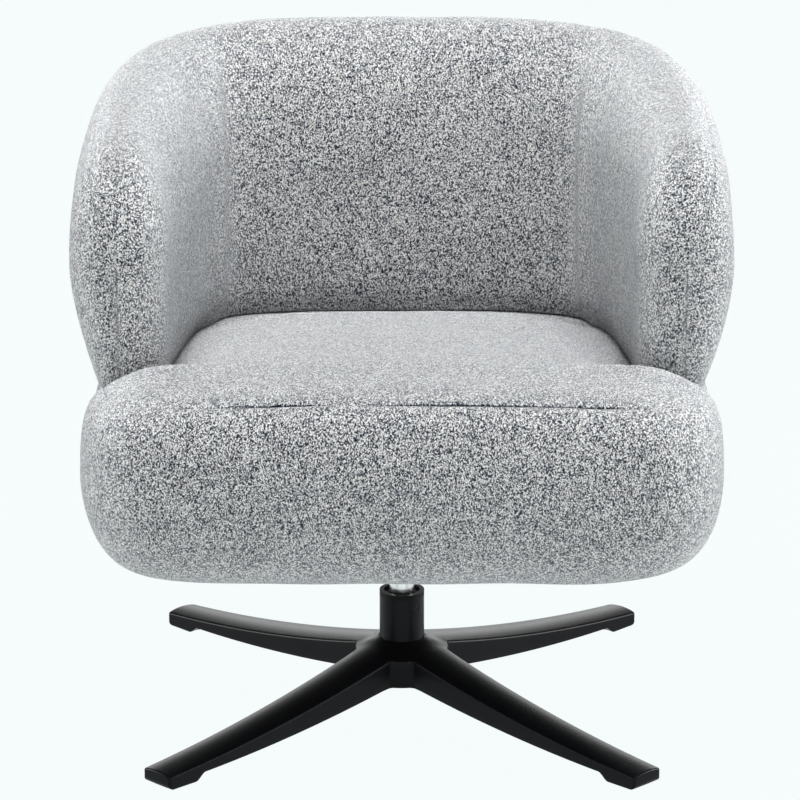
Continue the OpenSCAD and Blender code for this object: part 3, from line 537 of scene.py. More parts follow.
def arm_stations(side):
    """Place, outward direction and distance from the arm's end, closer together near that end."""
    d = ARM_LEN * (np.arange(ARM_STATIONS + 1) / ARM_STATIONS) ** ARM_CROWD
    ahead = ARM_LEN - d
    slope = 2 * TOE_IN * ahead
    s = np.hypot(1, slope)
    return np.stack([side * (PATH_HALF - TOE_IN * ahead ** 2), PATH_Y - ahead, side / s, -slope / s, d], -1)


def back_path(t):
    x = PATH_HALF * spow(np.cos(t), 2 / PATH_POWER)
    return x, PATH_Y + PATH_DEPTH * np.abs(np.sin(t)) ** (2 / PATH_POWER)


def back_stations():
    """The same as on the arms, at even steps round the back, which lies past the arms' ends."""
    t = np.linspace(0, math.pi, PATH_SAMPLES)
    along = lengths(np.stack(back_path(t), -1))
    t = np.interp(np.arange(1, BACK_STATIONS) / BACK_STATIONS * along[-1], along, t)
    x, y = back_path(t)
    nx = spow(np.cos(t), 2 - 2 / PATH_POWER) / PATH_HALF
    ny = np.sin(t) ** (2 - 2 / PATH_POWER) / PATH_DEPTH
    s = np.hypot(nx, ny)
    return np.stack([x, y, nx / s, ny / s, np.full(len(t), ARM_REACH * 2)], -1)


def shell_path(every=1):
    """Stations from one arm's end round the back to the other's, all or every second one."""
    right, left = arm_stations(1), arm_stations(-1)[::-1]
    return np.concatenate([right[::every], back_stations()[::every], left[::every]])


def round_in(d, reach):
    """Share of the full size at a distance from a rounded end."""
    x = np.clip(1 - d / reach, 0, 1)
    return np.where(d >= reach, 1.0, (1 - x ** NOSE_POWER) ** (1 / NOSE_POWER))


def swell(y):
    return SWELL * smooth((y - SWELL_FROM) / SWELL_RUN) * (1 - smooth((y - SWELL_TO) / SWELL_FADE))


def shell_points(path, turns, inset):
    """Grid of points on the shell, station by turn."""
    x0, y0, nx, ny, d = [path[:, k][:, None] for k in range(5)]
    c, s = np.cos(turns)[None], np.sin(turns)[None]
    out_side = c > 1e-9
    low_side = out_side & (s < 0)
    half = np.where(out_side, SHELL_OUT, SHELL_IN + swell(y0))
    plan = np.maximum(round_in(d, NOSE_PLAN), NOSE_PLAN_LEAST)
    side_power = np.where(low_side, LOW_SIDE_POWER, 2 / SIDE_POWER)
    out = plan * (half * spow(c, side_power) - inset * spow(c, INSET_SIDE_POWER))
    lean = smooth((y0 - PATH_Y) / LEAN_RUN)
    ahead = (PATH_Y + PATH_DEPTH - y0) / (PATH_DEPTH + ARM_LEN)
    top = JOINT_Z + SHELL_H - ARM_DROP * ahead - CORNER_DROP * (x0 / PATH_HALF) ** 2 * (1 - ahead)
    mid = JOINT_Z + ARM_MID + (BACK_MID - ARM_MID) * lean
    high = (top - inset - mid) * np.maximum(round_in(d, NOSE_TOP), NOSE_TOP_LEAST)
    foot = np.where(out_side, JOINT_Z - FOOT_OUT_H, JOINT_Z - FOOT_IN_H)
    power = np.where(out_side, FOOT_OUT_POWER, FOOT_IN_POWER)
    rise = np.where(s > 0, high * np.abs(s) ** (2 / TOP_POWER), -(mid - foot) * np.abs(s) ** (2 / power))
    z = mid + rise
    h = (z - JOINT_Z - LEAN_FROM) / (SHELL_H - LEAN_SHORT)
    x = x0 + nx * out - np.sign(x0) * BACK_LEAN * LEAN_PULL * lean * h
    y = y0 + inset * (1 - np.minimum(d / ARM_LEN, 1)) + ny * out + BACK_LEAN * lean * h
    return np.stack([x, y, z], -1)


def section_turns(a0, a1, spacing, near=None, at_end=True):
    """Turns between two angles, even in length on the back's section, finer towards one end."""
    fine = np.linspace(a0, a1, PROFILE_SAMPLES)
    along = lengths(shell_points(stations[len(stations) // 2][None], fine, 0.0)[0])
    total = along[-1]
    if near is None:
        at = np.linspace(0, total, int(round(total / spacing)) + 1)
    elif at_end:
        stop = total - near[-1]
        at = np.r_[np.linspace(0, stop, int(round(stop / spacing)) + 1), total - near[::-1][1:]]
    else:
        at = np.r_[near[:-1], np.linspace(near[-1], total, int(round((total - near[-1]) / spacing)) + 1)]
    return np.interp(at, along, fine), at


stations = shell_path()
outer_turns, outer_at = section_turns(FIRST_TURN, SEAM_ANGLE, FINE_STEP, SEAM_NEAR, True)
inner_turns, inner_at = section_turns(SEAM_ANGLE, LAST_TURN, FINE_STEP, SEAM_NEAR, False)
coarse_path = shell_path(every=2)
coarse_turns = np.r_[section_turns(FIRST_TURN, SEAM_ANGLE, COARSE_STEP)[0],
                     section_turns(SEAM_ANGLE, LAST_TURN, COARSE_STEP)[0][1:-1]]


def shell_swelling():
    """Swelling of the shell's fabric on the coarse grid, station by turn."""
    grid = shell_points(coarse_path, coarse_turns, PUFF_INSET)
    n, m = grid.shape[:2]
    verts = grid.reshape(-1, 3)
    quads = stitch(n, m)[:, ::-1]
    first_end = [(j, j + 1, m - 2 - j, m - 1 - j) for j in range(m // 2 - 1)]
    last_end = [tuple((n - 1) * m + q for q in reversed(f)) for f in first_end]
    foot = np.where(verts[:, 2] < JOINT_Z + FOOT_PIN_H, 1.0, 0.0)
    arm_end = np.where(coarse_path[:, 4] < ARM_END_REACH, ARM_END_PIN, 0.0).repeat(m)
    moved = puffed("shell_fabric", verts, list(quads) + first_end + last_end, np.maximum(foot, arm_end))
    return held_back(np.sum(moved * normals_of(verts, quads), axis=1).reshape(n, m))


def rest_on_seat(p):
    """Lifts points that are under the seat's surface onto it."""
    top, rho = drum_top_z(p[..., 0], p[..., 1])
    p[..., 2] = np.where((rho < 1) & (p[..., 2] < top + REST_GAP), top + REST_GAP, p[..., 2])


swollen = shell_swelling()
path_at, coarse_at = lengths(stations[:, :2]), lengths(coarse_path[:, :2])
stations_at = np.interp(path_at / path_at[-1], coarse_at / coarse_at[-1], np.arange(len(coarse_path)))


def shell_side(turns, from_seam, seed):
    """One fabric side of the shell, with its swelling, ripples, seam and gathers: points and normals."""
    grid = shell_points(stations, turns, PUFF_INSET)
    n, m = grid.shape[:2]
    flat = grid.reshape(-1, 3)
    norms = normals_of(flat, stitch(n, m, closed=False)[:, ::-1])
    round_turns = np.r_[coarse_turns, coarse_turns[0] + 2 * math.pi]
    turns_at = np.interp(turns, round_turns, np.arange(len(round_turns)))
    lift = read_grid(swollen, stations_at, turns_at).ravel()
    away = np.tile(from_seam, n)
    out = lift + ripple(flat, seed, 0.15) - seam_dip(away) + gathers(flat, away, seed + 1)
    ends = np.repeat(np.clip(stations[:, 4] / END_FADE, END_LEAST, 1), m)
    done = flat + norms * (out * ends)[:, None]
    rest_on_seat(done)
    return done.reshape(n, m, 3), norms.reshape(n, m, 3)


def sleeve(name, front, back):
    """Closed piece between a front grid and a back grid of the same size, station by turn."""
    n, m = front.shape[:2]
    quads = stitch(n, m, closed=False)
    index = np.arange(n * m).reshape(n, m)
    faces = [quads[:, ::-1], quads + n * m]
    for edge in (index[:, 0], index[-1, :], index[::-1, -1], index[0, ::-1]):
        a, b = edge[:-1], edge[1:]
        faces.append(np.stack([b, b + n * m, a + n * m, a], -1))
    verts = np.concatenate([front.reshape(-1, 3), back.reshape(-1, 3)])
    return add_object(name, verts, np.concatenate(faces))


outside, outside_norms = shell_side(outer_turns, outer_at[-1] - outer_at, 21)
inside, inside_norms = shell_side(inner_turns, inner_at, 31)
seam_line = (outside[:, -1] + inside[:, 0]) / 2
outside[:, -1] = seam_line
inside[:, 0] = seam_line
skin = SKIN * np.clip(round_in(stations[:, 4], SKIN_NOSE), SKIN_LEAST, 1)[:, None, None]
shell_outside = sleeve("shell_outside", outside, outside - outside_norms * skin)

# The inner padding reaches from its fabric through the shell to just inside the outer fabric
deep_at, outer_share = [np.linspace(0, 1, len(turns)) for turns in (inner_turns, outer_turns)]
deep_turns = np.interp(deep_at, outer_share, outer_turns[::-1])
deep = shell_points(stations, deep_turns, PUFF_INSET + DEEP_INSET)
rest_on_seat(deep)
for column in (0, -1):
    deep[:, column] = inside[:, column] - inside_norms[:, column] * skin[:, 0]
shell_inside = sleeve("shell_inside", inside, deep)

for piece, nodes, fill in ((seat_top, ("seat_top_cover", "seat_foam"), 0.8),
                           (seat_border, ("seat_border_cover", "border_foam"), 0.85),
                           (shell_inside, ("shell_inner_cover", "shell_foam"), 0.8),
                           (shell_outside, ("shell_outer_cover",), 0.8)):
    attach(piece, "seat")
    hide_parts(*nodes)

# Dust cover under the seat: a hemmed sheet, stapled round its edge and sagging a little
DUST_RHO, DUST_OPEN = 0.70, 0.102
DUST_T, DUST_HEM_T, DUST_CLEAR = 0.0008, 0.0006, 0.0001
DUST_SAG, DUST_PUCKER = 0.0009, 0.0003
DUST_SIDE_COLUMNS, STAPLE_EVERY = 90, 15
HEM_ROWS = np.array([0, 0.0008, 0.09, 0.11])
HEM_END, HEM_STEP, HEM_EDGE, HEM_EDGE_LEAST = 0.088, 0.02, 0.0008, 0.3
PUCKER_FROM, PUCKER_RUN = 0.7, 0.3


def dust_rows():
    """Flat places, share of the way out and drop of the dust cover's rows, and its outer loop."""
    steps = np.arange(DUST_SIDE_COLUMNS) / DUST_SIDE_COLUMNS
    turns = np.concatenate([turn_at(np.full(DUST_SIDE_COLUMNS, side), steps) for side in range(4)])
    outer = np.stack(drum_xy(turns, DUST_RHO), -1)
    inner = outer * (DUST_OPEN / np.abs(outer).max(axis=1))[:, None]
    rows = np.r_[HEM_ROWS, np.linspace(0.16, 0.84, 12), 1 - HEM_ROWS[::-1]]
    flat = (inner[None] + (outer - inner)[None] * rows[:, None, None]).reshape(-1, 2)
    share = np.repeat(rows, len(turns))
    number = np.tile(np.arange(len(turns)), len(rows))
    loose = 0.5 - 0.5 * np.cos(number * 2 * math.pi / STAPLE_EVERY)
    drop = DUST_SAG * np.sin(math.pi * share) * (1 + 0.5 * wobble(np.c_[flat, 0 * share], 51, 0.11))
    return flat, share, drop + DUST_PUCKER * loose * smooth((share - PUCKER_FROM) / PUCKER_RUN), outer


def dust_piece(flat, share, drop, columns):
    edge = np.minimum(share, 1 - share)
    hem = DUST_HEM_T * (1 - smooth((edge - HEM_END) / HEM_STEP)) * smooth(edge / HEM_EDGE + HEM_EDGE_LEAST)
    high = np.c_[flat, BOTTOM_Z - DUST_CLEAR - drop]
    low = np.c_[flat, BOTTOM_Z - DUST_T - drop - hem]
    count = len(flat)
    quads = stitch(count // columns, columns)
    ring, last = np.arange(columns), count - columns + np.arange(columns)
    faces = [quads[:, ::-1], quads + count, band(last, last + count), band(ring + count, ring)]
    return add_object("dust_cloth", np.concatenate([high, low]), np.concatenate(faces))


dust_flat, dust_share, dust_drop, dust_loop = dust_rows()
dust_cloth = dust_piece(dust_flat, dust_share, dust_drop, len(dust_loop))
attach(dust_cloth, "seat")
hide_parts("dust_cover")

# Cast star base, in metres: four ridged legs that blend into a hub
LEG_REACH, LEG_HALF_HUB, LEG_HALF_TIP = 0.371, 0.0282, 0.0209
RIDGE_IN, RIDGE_HUB_Z, RIDGE_TIP_Z = 0.025, 0.076, 0.0195
RIDGE_R, CROWN_R, CROWN_LIMIT = 1.960, 0.080, 0.98
HUB_R, HUB_LOW_Z, HUB_WALL_Z, HUB_TOP_Z, HUB_TOP_R = 0.052, 0.034, 0.0645, 0.0785, 0.0265
HUB_EASE, FLARE_POWER = 0.0015, 1.7
BORE_R = 0.025
LEG_UNDER_HUB, LEG_UNDER_TIP, LEG_UNDER_SAG = 0.0335, 0.010, 0.0042
HUB_LIP, HUB_LIP_IN, HUB_LIP_RUN = 0.012, 0.003, 0.006
FOOT_Z, FOOT_START, FOOT_NOTCH = 0.002, 0.333, 0.319
NOSE_R, TIP_R = 0.0065, 0.003
ARRIS, LOW_ARRIS = 0.0020, 0.0008
BLEND = 0.004
EDGE_STEPS = np.array([0, 0.00015, 0.0005, 0.0011, 0.002, 0.0034])
HUB_ROW_SPAN = 0.027


def leg_half(u):
    return LEG_HALF_HUB + (LEG_HALF_TIP - LEG_HALF_HUB) * u / LEG_REACH


# The fillet between two legs: its radius and centre, and where it meets the hub's arc
CROTCH_R, CROTCH_U = 0.0075, 0.0483
FILLET_V = leg_half(CROTCH_U) + CROTCH_R
FILLET_U = math.sqrt((HUB_R + CROTCH_R) ** 2 - FILLET_V ** 2)
ARC_END_U = FILLET_U * HUB_R / (HUB_R + CROTCH_R)
CORNER_U = HUB_R * math.sqrt(0.5)


def ridge_centre():
    run, fall = LEG_REACH - RIDGE_IN, RIDGE_TIP_Z - RIDGE_HUB_Z
    length = math.hypot(run, fall)
    up = math.sqrt(RIDGE_R ** 2 - length ** 2 / 4) / length
    return (LEG_REACH + RIDGE_IN) / 2 - fall * up, (RIDGE_HUB_Z + RIDGE_TIP_Z) / 2 + run * up


RIDGE_X, RIDGE_Z = ridge_centre()


def leg_top(u, v):
    across = np.minimum(np.abs(v), CROWN_R * CROWN_LIMIT)
    reach = RIDGE_R + CROWN_R - np.sqrt(CROWN_R ** 2 - across ** 2)
    return RIDGE_Z - np.sqrt(reach ** 2 - (u - RIDGE_X) ** 2)


def soft_max(a, b, k):
    h = np.maximum(k - np.abs(a - b), 0) / k
    return np.maximum(a, b) + h * h * k / 4


def base_top(u, v):
    """Height of the upper side: this leg, the legs beside it and the hub's flare."""
    r = np.hypot(u, v)
    legs = soft_max(leg_top(np.maximum(u, RIDGE_IN), v), leg_top(np.maximum(np.abs(v), RIDGE_IN), u), BLEND)
    inward = np.clip((HUB_R + HUB_EASE - r) / (HUB_R + HUB_EASE - HUB_TOP_R), 0, 1)
    flare = HUB_WALL_Z + (HUB_TOP_Z - HUB_WALL_Z) * inward ** FLARE_POWER
    outside_hub = np.maximum(r - HUB_R - HUB_EASE, 0)
    return np.minimum(soft_max(legs, flare - outside_hub, BLEND), HUB_TOP_Z)


def base_low(u, v):
    """Height of the underside: hub, leg, notch, foot and rounded nose."""
    t = np.clip((u - HUB_R) / (FOOT_NOTCH - HUB_R), 0, 1)
    leg = LEG_UNDER_HUB + (LEG_UNDER_TIP - LEG_UNDER_HUB) * t - 4 * LEG_UNDER_SAG * t * (1 - t)
    foot = LEG_UNDER_TIP - (LEG_UNDER_TIP - FOOT_Z) * smooth((u - FOOT_NOTCH) / (FOOT_START - FOOT_NOTCH))
    nose = np.clip((u - (LEG_REACH - NOSE_R)) / NOSE_R, 0, 1)
    z = np.where(u > FOOT_NOTCH, foot, leg) + NOSE_R * (1 - np.sqrt(1 - nose ** 2))
    r = np.hypot(u, v)
    hub = 1 - smooth((r - HUB_R + HUB_LIP_IN) / HUB_LIP_RUN)
    return np.where(r < HUB_R + HUB_LIP, z + (HUB_LOW_Z - z) * hub, z)


def plan_half(u):
    """Half-width of a leg's plan, with the hub's arc, the fillet beside it and the tip's round corners."""
    arc = np.sqrt(np.maximum(HUB_R ** 2 - u ** 2, 0))
    fillet = FILLET_V - np.sqrt(np.maximum(CROTCH_R ** 2 - (FILLET_U - u) ** 2, 0))
    tip = leg_half(u) - TIP_R + np.sqrt(np.maximum(TIP_R ** 2 - np.maximum(u - LEG_REACH + TIP_R, 0) ** 2, 0))
    return np.where(u < ARC_END_U, arc, np.where(u < FILLET_U, fillet, tip))


def quarter_plan():
    """Plan of a quarter of the base in rows from the bore to a leg's tip, and its corner's row number."""
    near = EDGE_STEPS

    def columns(b):
        return np.r_[-b + near[:-1], (b - near[-1]) * np.linspace(-1, 1, 15), b - near[::-1][1:]]

    hub_rows = np.r_[np.linspace(0, 1 - near[-1] / HUB_ROW_SPAN, 11)[:-1], 1 - near[::-1] / HUB_ROW_SPAN]
    nose_rows = LEG_REACH - NOSE_R * (1 - np.sin(np.linspace(0, math.pi / 2, 8)))
    leg_rows = [np.linspace(CORNER_U, ARC_END_U, 7), np.linspace(ARC_END_U, FILLET_U, 7),
                np.linspace(FILLET_U, FOOT_NOTCH, 34), np.linspace(FOOT_NOTCH, FOOT_START, 8),
                np.linspace(FOOT_START, LEG_REACH - NOSE_R, 6), nose_rows, LEG_REACH - near]
    first = columns(CORNER_U)
    angles = first / CORNER_U * math.pi / 4
    circle = np.stack([BORE_R * np.cos(angles), BORE_R * np.sin(angles)], -1)
    line = np.stack([np.full(len(first), CORNER_U), CORNER_U * np.tan(angles)], -1)
    rows = [circle * (1 - t) + line * t for t in hub_rows]
    for u in np.unique(np.round(np.concatenate(leg_rows), 6))[1:]:
        rows.append(np.stack([np.full(len(first), u), columns(float(plan_half(u)))], -1))
    return np.array(rows), len(hub_rows) - 1


def edge_distance(flat, loop):
    """Distance of each plan point from the base's outline."""
    outline = flat[loop]
    away = np.full(len(flat), 9.0)
    for a, along in zip(outline[:-1], np.diff(outline, axis=0)):
        k = np.clip(((flat - a) @ along) / max(along @ along, 1e-18), 0, 1)
        away = np.minimum(away, np.hypot(*(flat - a - k[:, None] * along).T))
    # The outline goes on past the diagonals, as the next legs' hub arcs
    away = np.where(flat[:, 0] < ARC_END_U, np.minimum(away, np.abs(HUB_R - np.hypot(*flat.T))), away)
    away[loop] = 0
    return away


def rounding(away, r):
    """How far an arris of radius r takes the surface back at a distance from the edge."""
    return r - np.sqrt(np.maximum(r * r - np.maximum(r - away, 0) ** 2, 0))


def star_mesh():
    plan, start = quarter_plan()
    n, m = plan.shape[:2]
    total = n * m
    flat = plan.reshape(-1, 2)
    index = np.arange(total).reshape(n, m)
    loop = np.r_[index[start:, 0], index[-1, 1:], index[start:-1, -1][::-1]]
    away = edge_distance(flat, loop)
    u, v = flat.T
    top = base_top(u, v) - rounding(away, ARRIS)
    low = base_low(u, v) + rounding(away, LOW_ARRIS)
    u = u - v ** 2 / (2 * LEG_REACH) * (u / LEG_REACH) ** 8
    quads = np.stack([index[:-1, :-1], index[1:, :-1], index[1:, 1:], index[:-1, 1:]], -1).reshape(-1, 4)
    extra = len(loop)
    verts, faces = [], []
    for leg in range(4):
        base = leg * (2 * total + 2 * extra)
        turn = math.radians(45 + 90 * leg)
        x, y = u * math.cos(turn) - v * math.sin(turn), u * math.sin(turn) + v * math.cos(turn)
        verts += [np.stack([x, y, top], -1), np.stack([x, y, low], -1)]
        for share in (1 / 3, 2 / 3):
            verts.append(np.stack([x[loop], y[loop], top[loop] + (low[loop] - top[loop]) * share], -1))
        faces += [base + quads, base + total + quads[:, ::-1]]
        levels = [base + 2 * total + k * extra + np.arange(extra) for k in range(2)]
        bands = [base + loop] + levels + [base + total + loop]
        for a, b in zip(bands[:-1], bands[1:]):
            faces.append(np.stack([a[:-1], b[:-1], b[1:], a[1:]], -1))
        a, b = base + index[0], base + total + index[0]
        faces.append(np.stack([a[:-1], a[1:], b[1:], b[:-1]], -1))
    verts, faces = np.concatenate(verts), np.concatenate(faces)
    key = np.round(verts / 1e-6).astype(np.int64)
    _, keep, back = np.unique(key, axis=0, return_index=True, return_inverse=True)
    return verts[keep], back.ravel()[faces]


star = add_object("cast_base", *star_mesh())
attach(star, "base")
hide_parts("star_base")


# Materials
def new_material(name, base, rough, metallic=0.0):
    mat = bpy.data.materials.new(name)
    mat.use_nodes = True
    tree = mat.node_tree
    shader = tree.nodes["Principled BSDF"]
    shader.inputs["Base Color"].default_value = (*base, 1)
    shader.inputs["Roughness"].default_value = rough
    shader.inputs["Metallic"].default_value = metallic
    return mat, tree, shader


def node(tree, kind, **values):
    """A shader node. Each value is a property of it or, with spaces for underscores, one of its inputs."""
    made = tree.nodes.new("ShaderNode" + kind)
    for key, value in values.items():
        if hasattr(made, key):
            setattr(made, key, value)
        else:
            made.inputs[key.replace("_", " ")].default_value = value
    return made


def texture(tree, kind, where, **values):
    made = node(tree, "Tex" + kind, **values)
    tree.links.new(where, made.inputs["Vector"])
    return made


def stretched(tree, where, scale):
    made = node(tree, "Mapping", Scale=scale)
    tree.links.new(where, made.inputs["Vector"])
    return made.outputs[0]


def add_bump(tree, shader, height, strength, depth):
    made = node(tree, "Bump", Strength=strength, Distance=depth)
    tree.links.new(height, made.inputs["Height"])
    tree.links.new(made.outputs["Normal"], shader.inputs["Normal"])


def math_node(tree, operation, a, b=None, clamp=False):
    made = node(tree, "Math", operation=operation, use_clamp=clamp)
    for k, v in enumerate((a, b)):
        if isinstance(v, (int, float)):
            made.inputs[k].default_value = v
        elif v is not None:
            tree.links.new(v, made.inputs[k])
    return made.outputs[0]


def blend(tree, a, share_a, b, share_b):
    first = math_node(tree, "MULTIPLY", a.outputs["Fac"], share_a)
    return math_node(tree, "ADD", first, math_node(tree, "MULTIPLY", b.outputs["Fac"], share_b))


def ramp(tree, value, stops):
    made = node(tree, "ValToRGB")
    while len(made.color_ramp.elements) < len(stops):
        made.color_ramp.elements.new(0.5)
    for e, (at, colour) in zip(made.color_ramp.elements, stops):
        e.position = at
        e.color = (*colour, 1)
    tree.links.new(value, made.inputs["Fac"])
    return made.outputs["Color"]


def object_place(tree):
    return node(tree, "TexCoord").outputs["Object"]


def boucle():
    """Curled loops of light yarn over a darker ground, with a pale fuzz at their edges."""
    mat, tree, shader = new_material("boucle", (0.5, 0.5, 0.5), 0.9)
    link, calc = tree.links.new, partial(math_node, tree)
    where = stretched(tree, object_place(tree), (1, 1, 0.72))
    shift = node(tree, "VectorMath", operation="MULTIPLY_ADD")
    link(texture(tree, "Noise", where, Scale=640.0, Detail=1.0).outputs["Color"], shift.inputs[0])
    shift.inputs[1].default_value = (0.002, 0.002, 0.002)
    link(where, shift.inputs[2])
    cells = texture(tree, "Voronoi", shift.outputs[0], Scale=920.0)
    curls = texture(tree, "Noise", where, Scale=1350.0, Detail=1.0, Distortion=0.5)
    worm = calc("ABSOLUTE", calc("SUBTRACT", curls.outputs["Fac"], 0.5))
    worm = calc("SUBTRACT", 1.0, calc("MULTIPLY", worm, 7.0), clamp=True)
    blob = calc("SUBTRACT", 1.0, calc("MULTIPLY", cells.outputs["Distance"], 1.35), clamp=True)
    height = calc("ADD", calc("MULTIPLY", blob, 0.6), calc("MULTIPLY", worm, 0.4))
    patch = texture(tree, "Noise", where, Scale=60.0, Detail=3.0)
    uneven = calc("MULTIPLY", calc("SUBTRACT", patch.outputs["Fac"], 0.5), 0.10)
    each = calc("SUBTRACT", cells.outputs["Color"], 0.5)
    level = calc("ADD", calc("ADD", height, uneven), each)
    # Along the seam the fabric is darker: its thread, and painted shadow in the seam's groove.
    seam = node(tree, "Attribute", attribute_name="seam")
    level = calc("SUBTRACT", level, calc("MULTIPLY", seam.outputs["Fac"], 0.6))
    colour = ramp(tree, level, [(0.335, (0.005, 0.011, 0.026)), (0.395, (0.05, 0.074, 0.12)),
                                (0.435, (0.53, 0.565, 0.60)), (0.49, (0.87, 0.87, 0.855))])
    link(colour, shader.inputs["Base Color"])
    add_bump(tree, shader, height, 0.9, 0.0012)
    shader.inputs["Sheen Weight"].default_value = 0.8
    shader.inputs["Sheen Roughness"].default_value = 0.3
    shader.inputs["Sheen Tint"].default_value = (0.95, 0.97, 1, 1)
    shader.inputs["Specular IOR Level"].default_value = 0.1
    return mat


def grained(name, base, rough, scale, bump, depth=0.0001, metallic=0.0, tint=0.25, stretch=(1, 1, 1),
            shine=0.5):
    """Material with fine noise in its colour, roughness and bump."""
    mat, tree, shader = new_material(name, base, rough, metallic)
    shader.inputs["Specular IOR Level"].default_value = shine
    link, calc = tree.links.new, partial(math_node, tree)
    where = object_place(tree)
    fine = texture(tree, "Noise", stretched(tree, where, stretch), Scale=scale, Detail=4.0)
    broad = texture(tree, "Noise", where, Scale=18.0, Detail=3.0)
    mixed = blend(tree, fine, 0.5, broad, 0.5)
    low = tuple(c * (1 - tint) for c in base)
    high = tuple(min(c * (1 + tint), 1) for c in base)
    link(ramp(tree, mixed, [(0.3, low), (0.7, high)]), shader.inputs["Base Color"])
    link(calc("ADD", rough - 0.06, calc("MULTIPLY", mixed, 0.12)), shader.inputs["Roughness"])
    add_bump(tree, shader, fine.outputs["Fac"], bump, depth)
    return mat


def plywood():
    """Layers one above another, with a grain along them."""
    mat, tree, shader = new_material("plywood", (0.62, 0.45, 0.27), 0.6)
    where = object_place(tree)
    layers = texture(tree, "Wave", where, Scale=105.0, Distortion=0.4, Detail=2.0, bands_direction="Z")
    grain = texture(tree, "Noise", stretched(tree, where, (4, 60, 60)), Scale=8.0, Detail=6.0, Roughness=0.65)
    both = blend(tree, layers, 0.4, grain, 0.6)
    colour = ramp(tree, both, [(0.25, (0.36, 0.23, 0.12)), (0.5, (0.60, 0.43, 0.26)),
                               (0.8, (0.72, 0.56, 0.37))])
    tree.links.new(colour, shader.inputs["Base Color"])
    add_bump(tree, shader, grain.outputs["Fac"], 0.3, 0.0003)
    return mat


GRAINED = {
    "base_black": dict(base=(0.0035, 0.0036, 0.0042), rough=0.30, scale=1400, bump=0.22, depth=0.00008,
                       shine=0.08),
    "steel_black": dict(base=(0.004, 0.0041, 0.005), rough=0.27, scale=1600, bump=0.12, depth=0.00006,
                        shine=0.10),
    "plastic_black": dict(base=(0.003, 0.003, 0.0035), rough=0.5, scale=1200, bump=0.3, shine=0.08),
    "rubber_black": dict(base=(0.02, 0.02, 0.02), rough=0.75, scale=900, bump=0.3),
    "steel_bright": dict(base=(0.74, 0.75, 0.76), rough=0.22, metallic=1.0, scale=700, bump=0.10,
                         depth=0.00005, tint=0.06, stretch=(0.05, 0.05, 6)),
    "brass_cage": dict(base=(0.72, 0.55, 0.25), rough=0.35, metallic=1.0, scale=600, bump=0.1, tint=0.1),
    "steel_dark": dict(base=(0.02, 0.02, 0.022), rough=0.5, metallic=0.2, scale=900, bump=0.15, shine=0.15),
    "zinc_plated": dict(base=(0.62, 0.63, 0.64), rough=0.35, metallic=1.0, scale=500, bump=0.1, tint=0.12),
    "softwood": dict(base=(0.66, 0.50, 0.31), rough=0.65, scale=30, bump=0.25, depth=0.0003,
                     stretch=(1, 14, 14)),
    "dust_cloth": dict(base=(0.03, 0.03, 0.032), rough=0.9, scale=1100, bump=0.6, depth=0.0003, tint=0.4),
    "webbing": dict(base=(0.16, 0.13, 0.10), rough=0.85, scale=800, bump=0.6, depth=0.0003, tint=0.4),
    "foam": dict(base=(0.80, 0.74, 0.52), rough=0.95, scale=700, bump=0.6, depth=0.0005, tint=0.12),
}
MATERIALS = {"boucle": boucle(), "plywood": plywood()}
MATERIALS.update({name: grained(name, **values) for name, values in GRAINED.items()})

for piece, slot in ((seat_top, "boucle"), (seat_border, "boucle"), (shell_inside, "boucle"),
                    (shell_outside, "boucle"), (star, "base_black"), (dust_cloth, "dust_cloth")):
    piece.data.materials.clear()
    piece.data.materials.append(MATERIALS[slot])
for part in frame["record"]["subparts"]:
    for slot in frame["nodes"][part["node"]].material_slots:
        slot.material = MATERIALS[part["material_slot"]]

# Floor and walls of a pale studio: the walls are as pale as the floor near the horizon, and dimmer above
PALE, PALE_STRENGTH = (0.9216, 0.9734, 0.9734, 1), 0.995
# The walls dim between these heights of view, as sines, to this strength
SKY_FADE_FROM, SKY_FADE_TO, SKY_STRENGTH = 0.09, 0.19, 0.17
FLOOR_HALF = 30

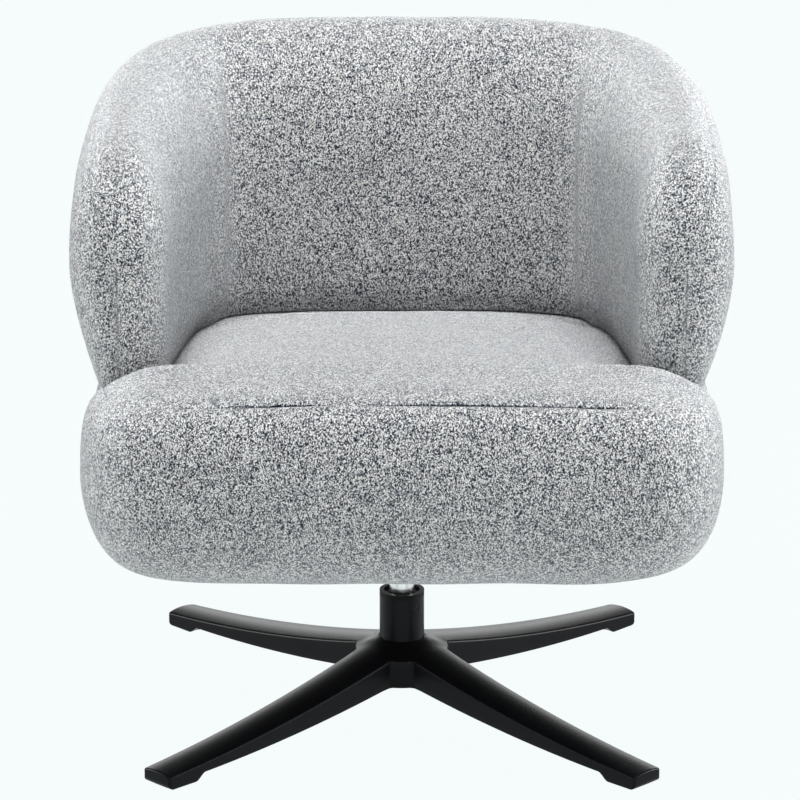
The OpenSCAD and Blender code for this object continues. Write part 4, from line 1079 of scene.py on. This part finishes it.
corners = [(-FLOOR_HALF, -FLOOR_HALF, 0), (FLOOR_HALF, -FLOOR_HALF, 0), (FLOOR_HALF, FLOOR_HALF, 0),
           (-FLOOR_HALF, FLOOR_HALF, 0)]
floor = add_object("floor", corners, [(0, 1, 2, 3)])
floor_mat, _, floor_shader = new_material("floor", (0.004, 0.004, 0.004), 0.9)
floor_shader.inputs["Specular IOR Level"].default_value = 0
floor_shader.inputs["Emission Color"].default_value = PALE
floor_shader.inputs["Emission Strength"].default_value = PALE_STRENGTH
floor.data.materials.append(floor_mat)

world = bpy.data.worlds.new("studio")
world.use_nodes = True
sky = world.node_tree
backdrop = sky.nodes["Background"]
backdrop.inputs["Color"].default_value = PALE
aim = node(sky, "SeparateXYZ")
sky.links.new(node(sky, "TexCoord").outputs["Generated"], aim.inputs[0])
fade = node(sky, "MapRange", interpolation_type="SMOOTHSTEP",
            From_Min=SKY_FADE_FROM, From_Max=SKY_FADE_TO, To_Min=PALE_STRENGTH, To_Max=SKY_STRENGTH)
sky.links.new(aim.outputs["Z"], fade.inputs["Value"])
sky.links.new(fade.outputs[0], backdrop.inputs["Strength"])
bpy.context.scene.world = world
bpy.context.scene.view_settings.view_transform = "Standard"

# Soft lights: place, target, width and height, and power
LIGHTS = {
    "top": dict(at=(0.15, -0.3, 3.2), aim=(0, 0, 0.4), size=(2.6, 2.2), power=172),
    "front": dict(at=(0.4, -3.0, 0.18), aim=(0, 0, 0.30), size=(2.2, 0.5), power=7),
    "near": dict(at=(0.15, -1.5, 0.10), aim=(0, 0, 0.32), size=(1.6, 0.3), power=6),
    "left": dict(at=(-3.0, 0.45, 0.65), aim=(0, 0, 0.4), size=(1.6, 1.1), power=84),
    "right": dict(at=(3.0, 0.25, 0.8), aim=(0, 0, 0.4), size=(1.6, 1.3), power=120),
    "back": dict(at=(0, 3.9, 0.8), aim=(0, 0, 0.7), size=(5.0, 1.1), power=44),
}


def area_light(name, at, aim, size, power):
    data = bpy.data.lights.new(name, "AREA")
    data.shape = "RECTANGLE"
    data.size, data.size_y = size
    data.energy = power
    obj = bpy.data.objects.new(name, data)
    obj.location = at
    obj.rotation_euler = (Vector(aim) - Vector(at)).to_track_quat("-Z", "Y").to_euler()
    obj.visible_camera = False
    bpy.context.collection.objects.link(obj)


for name, values in LIGHTS.items():
    area_light(name, **values)
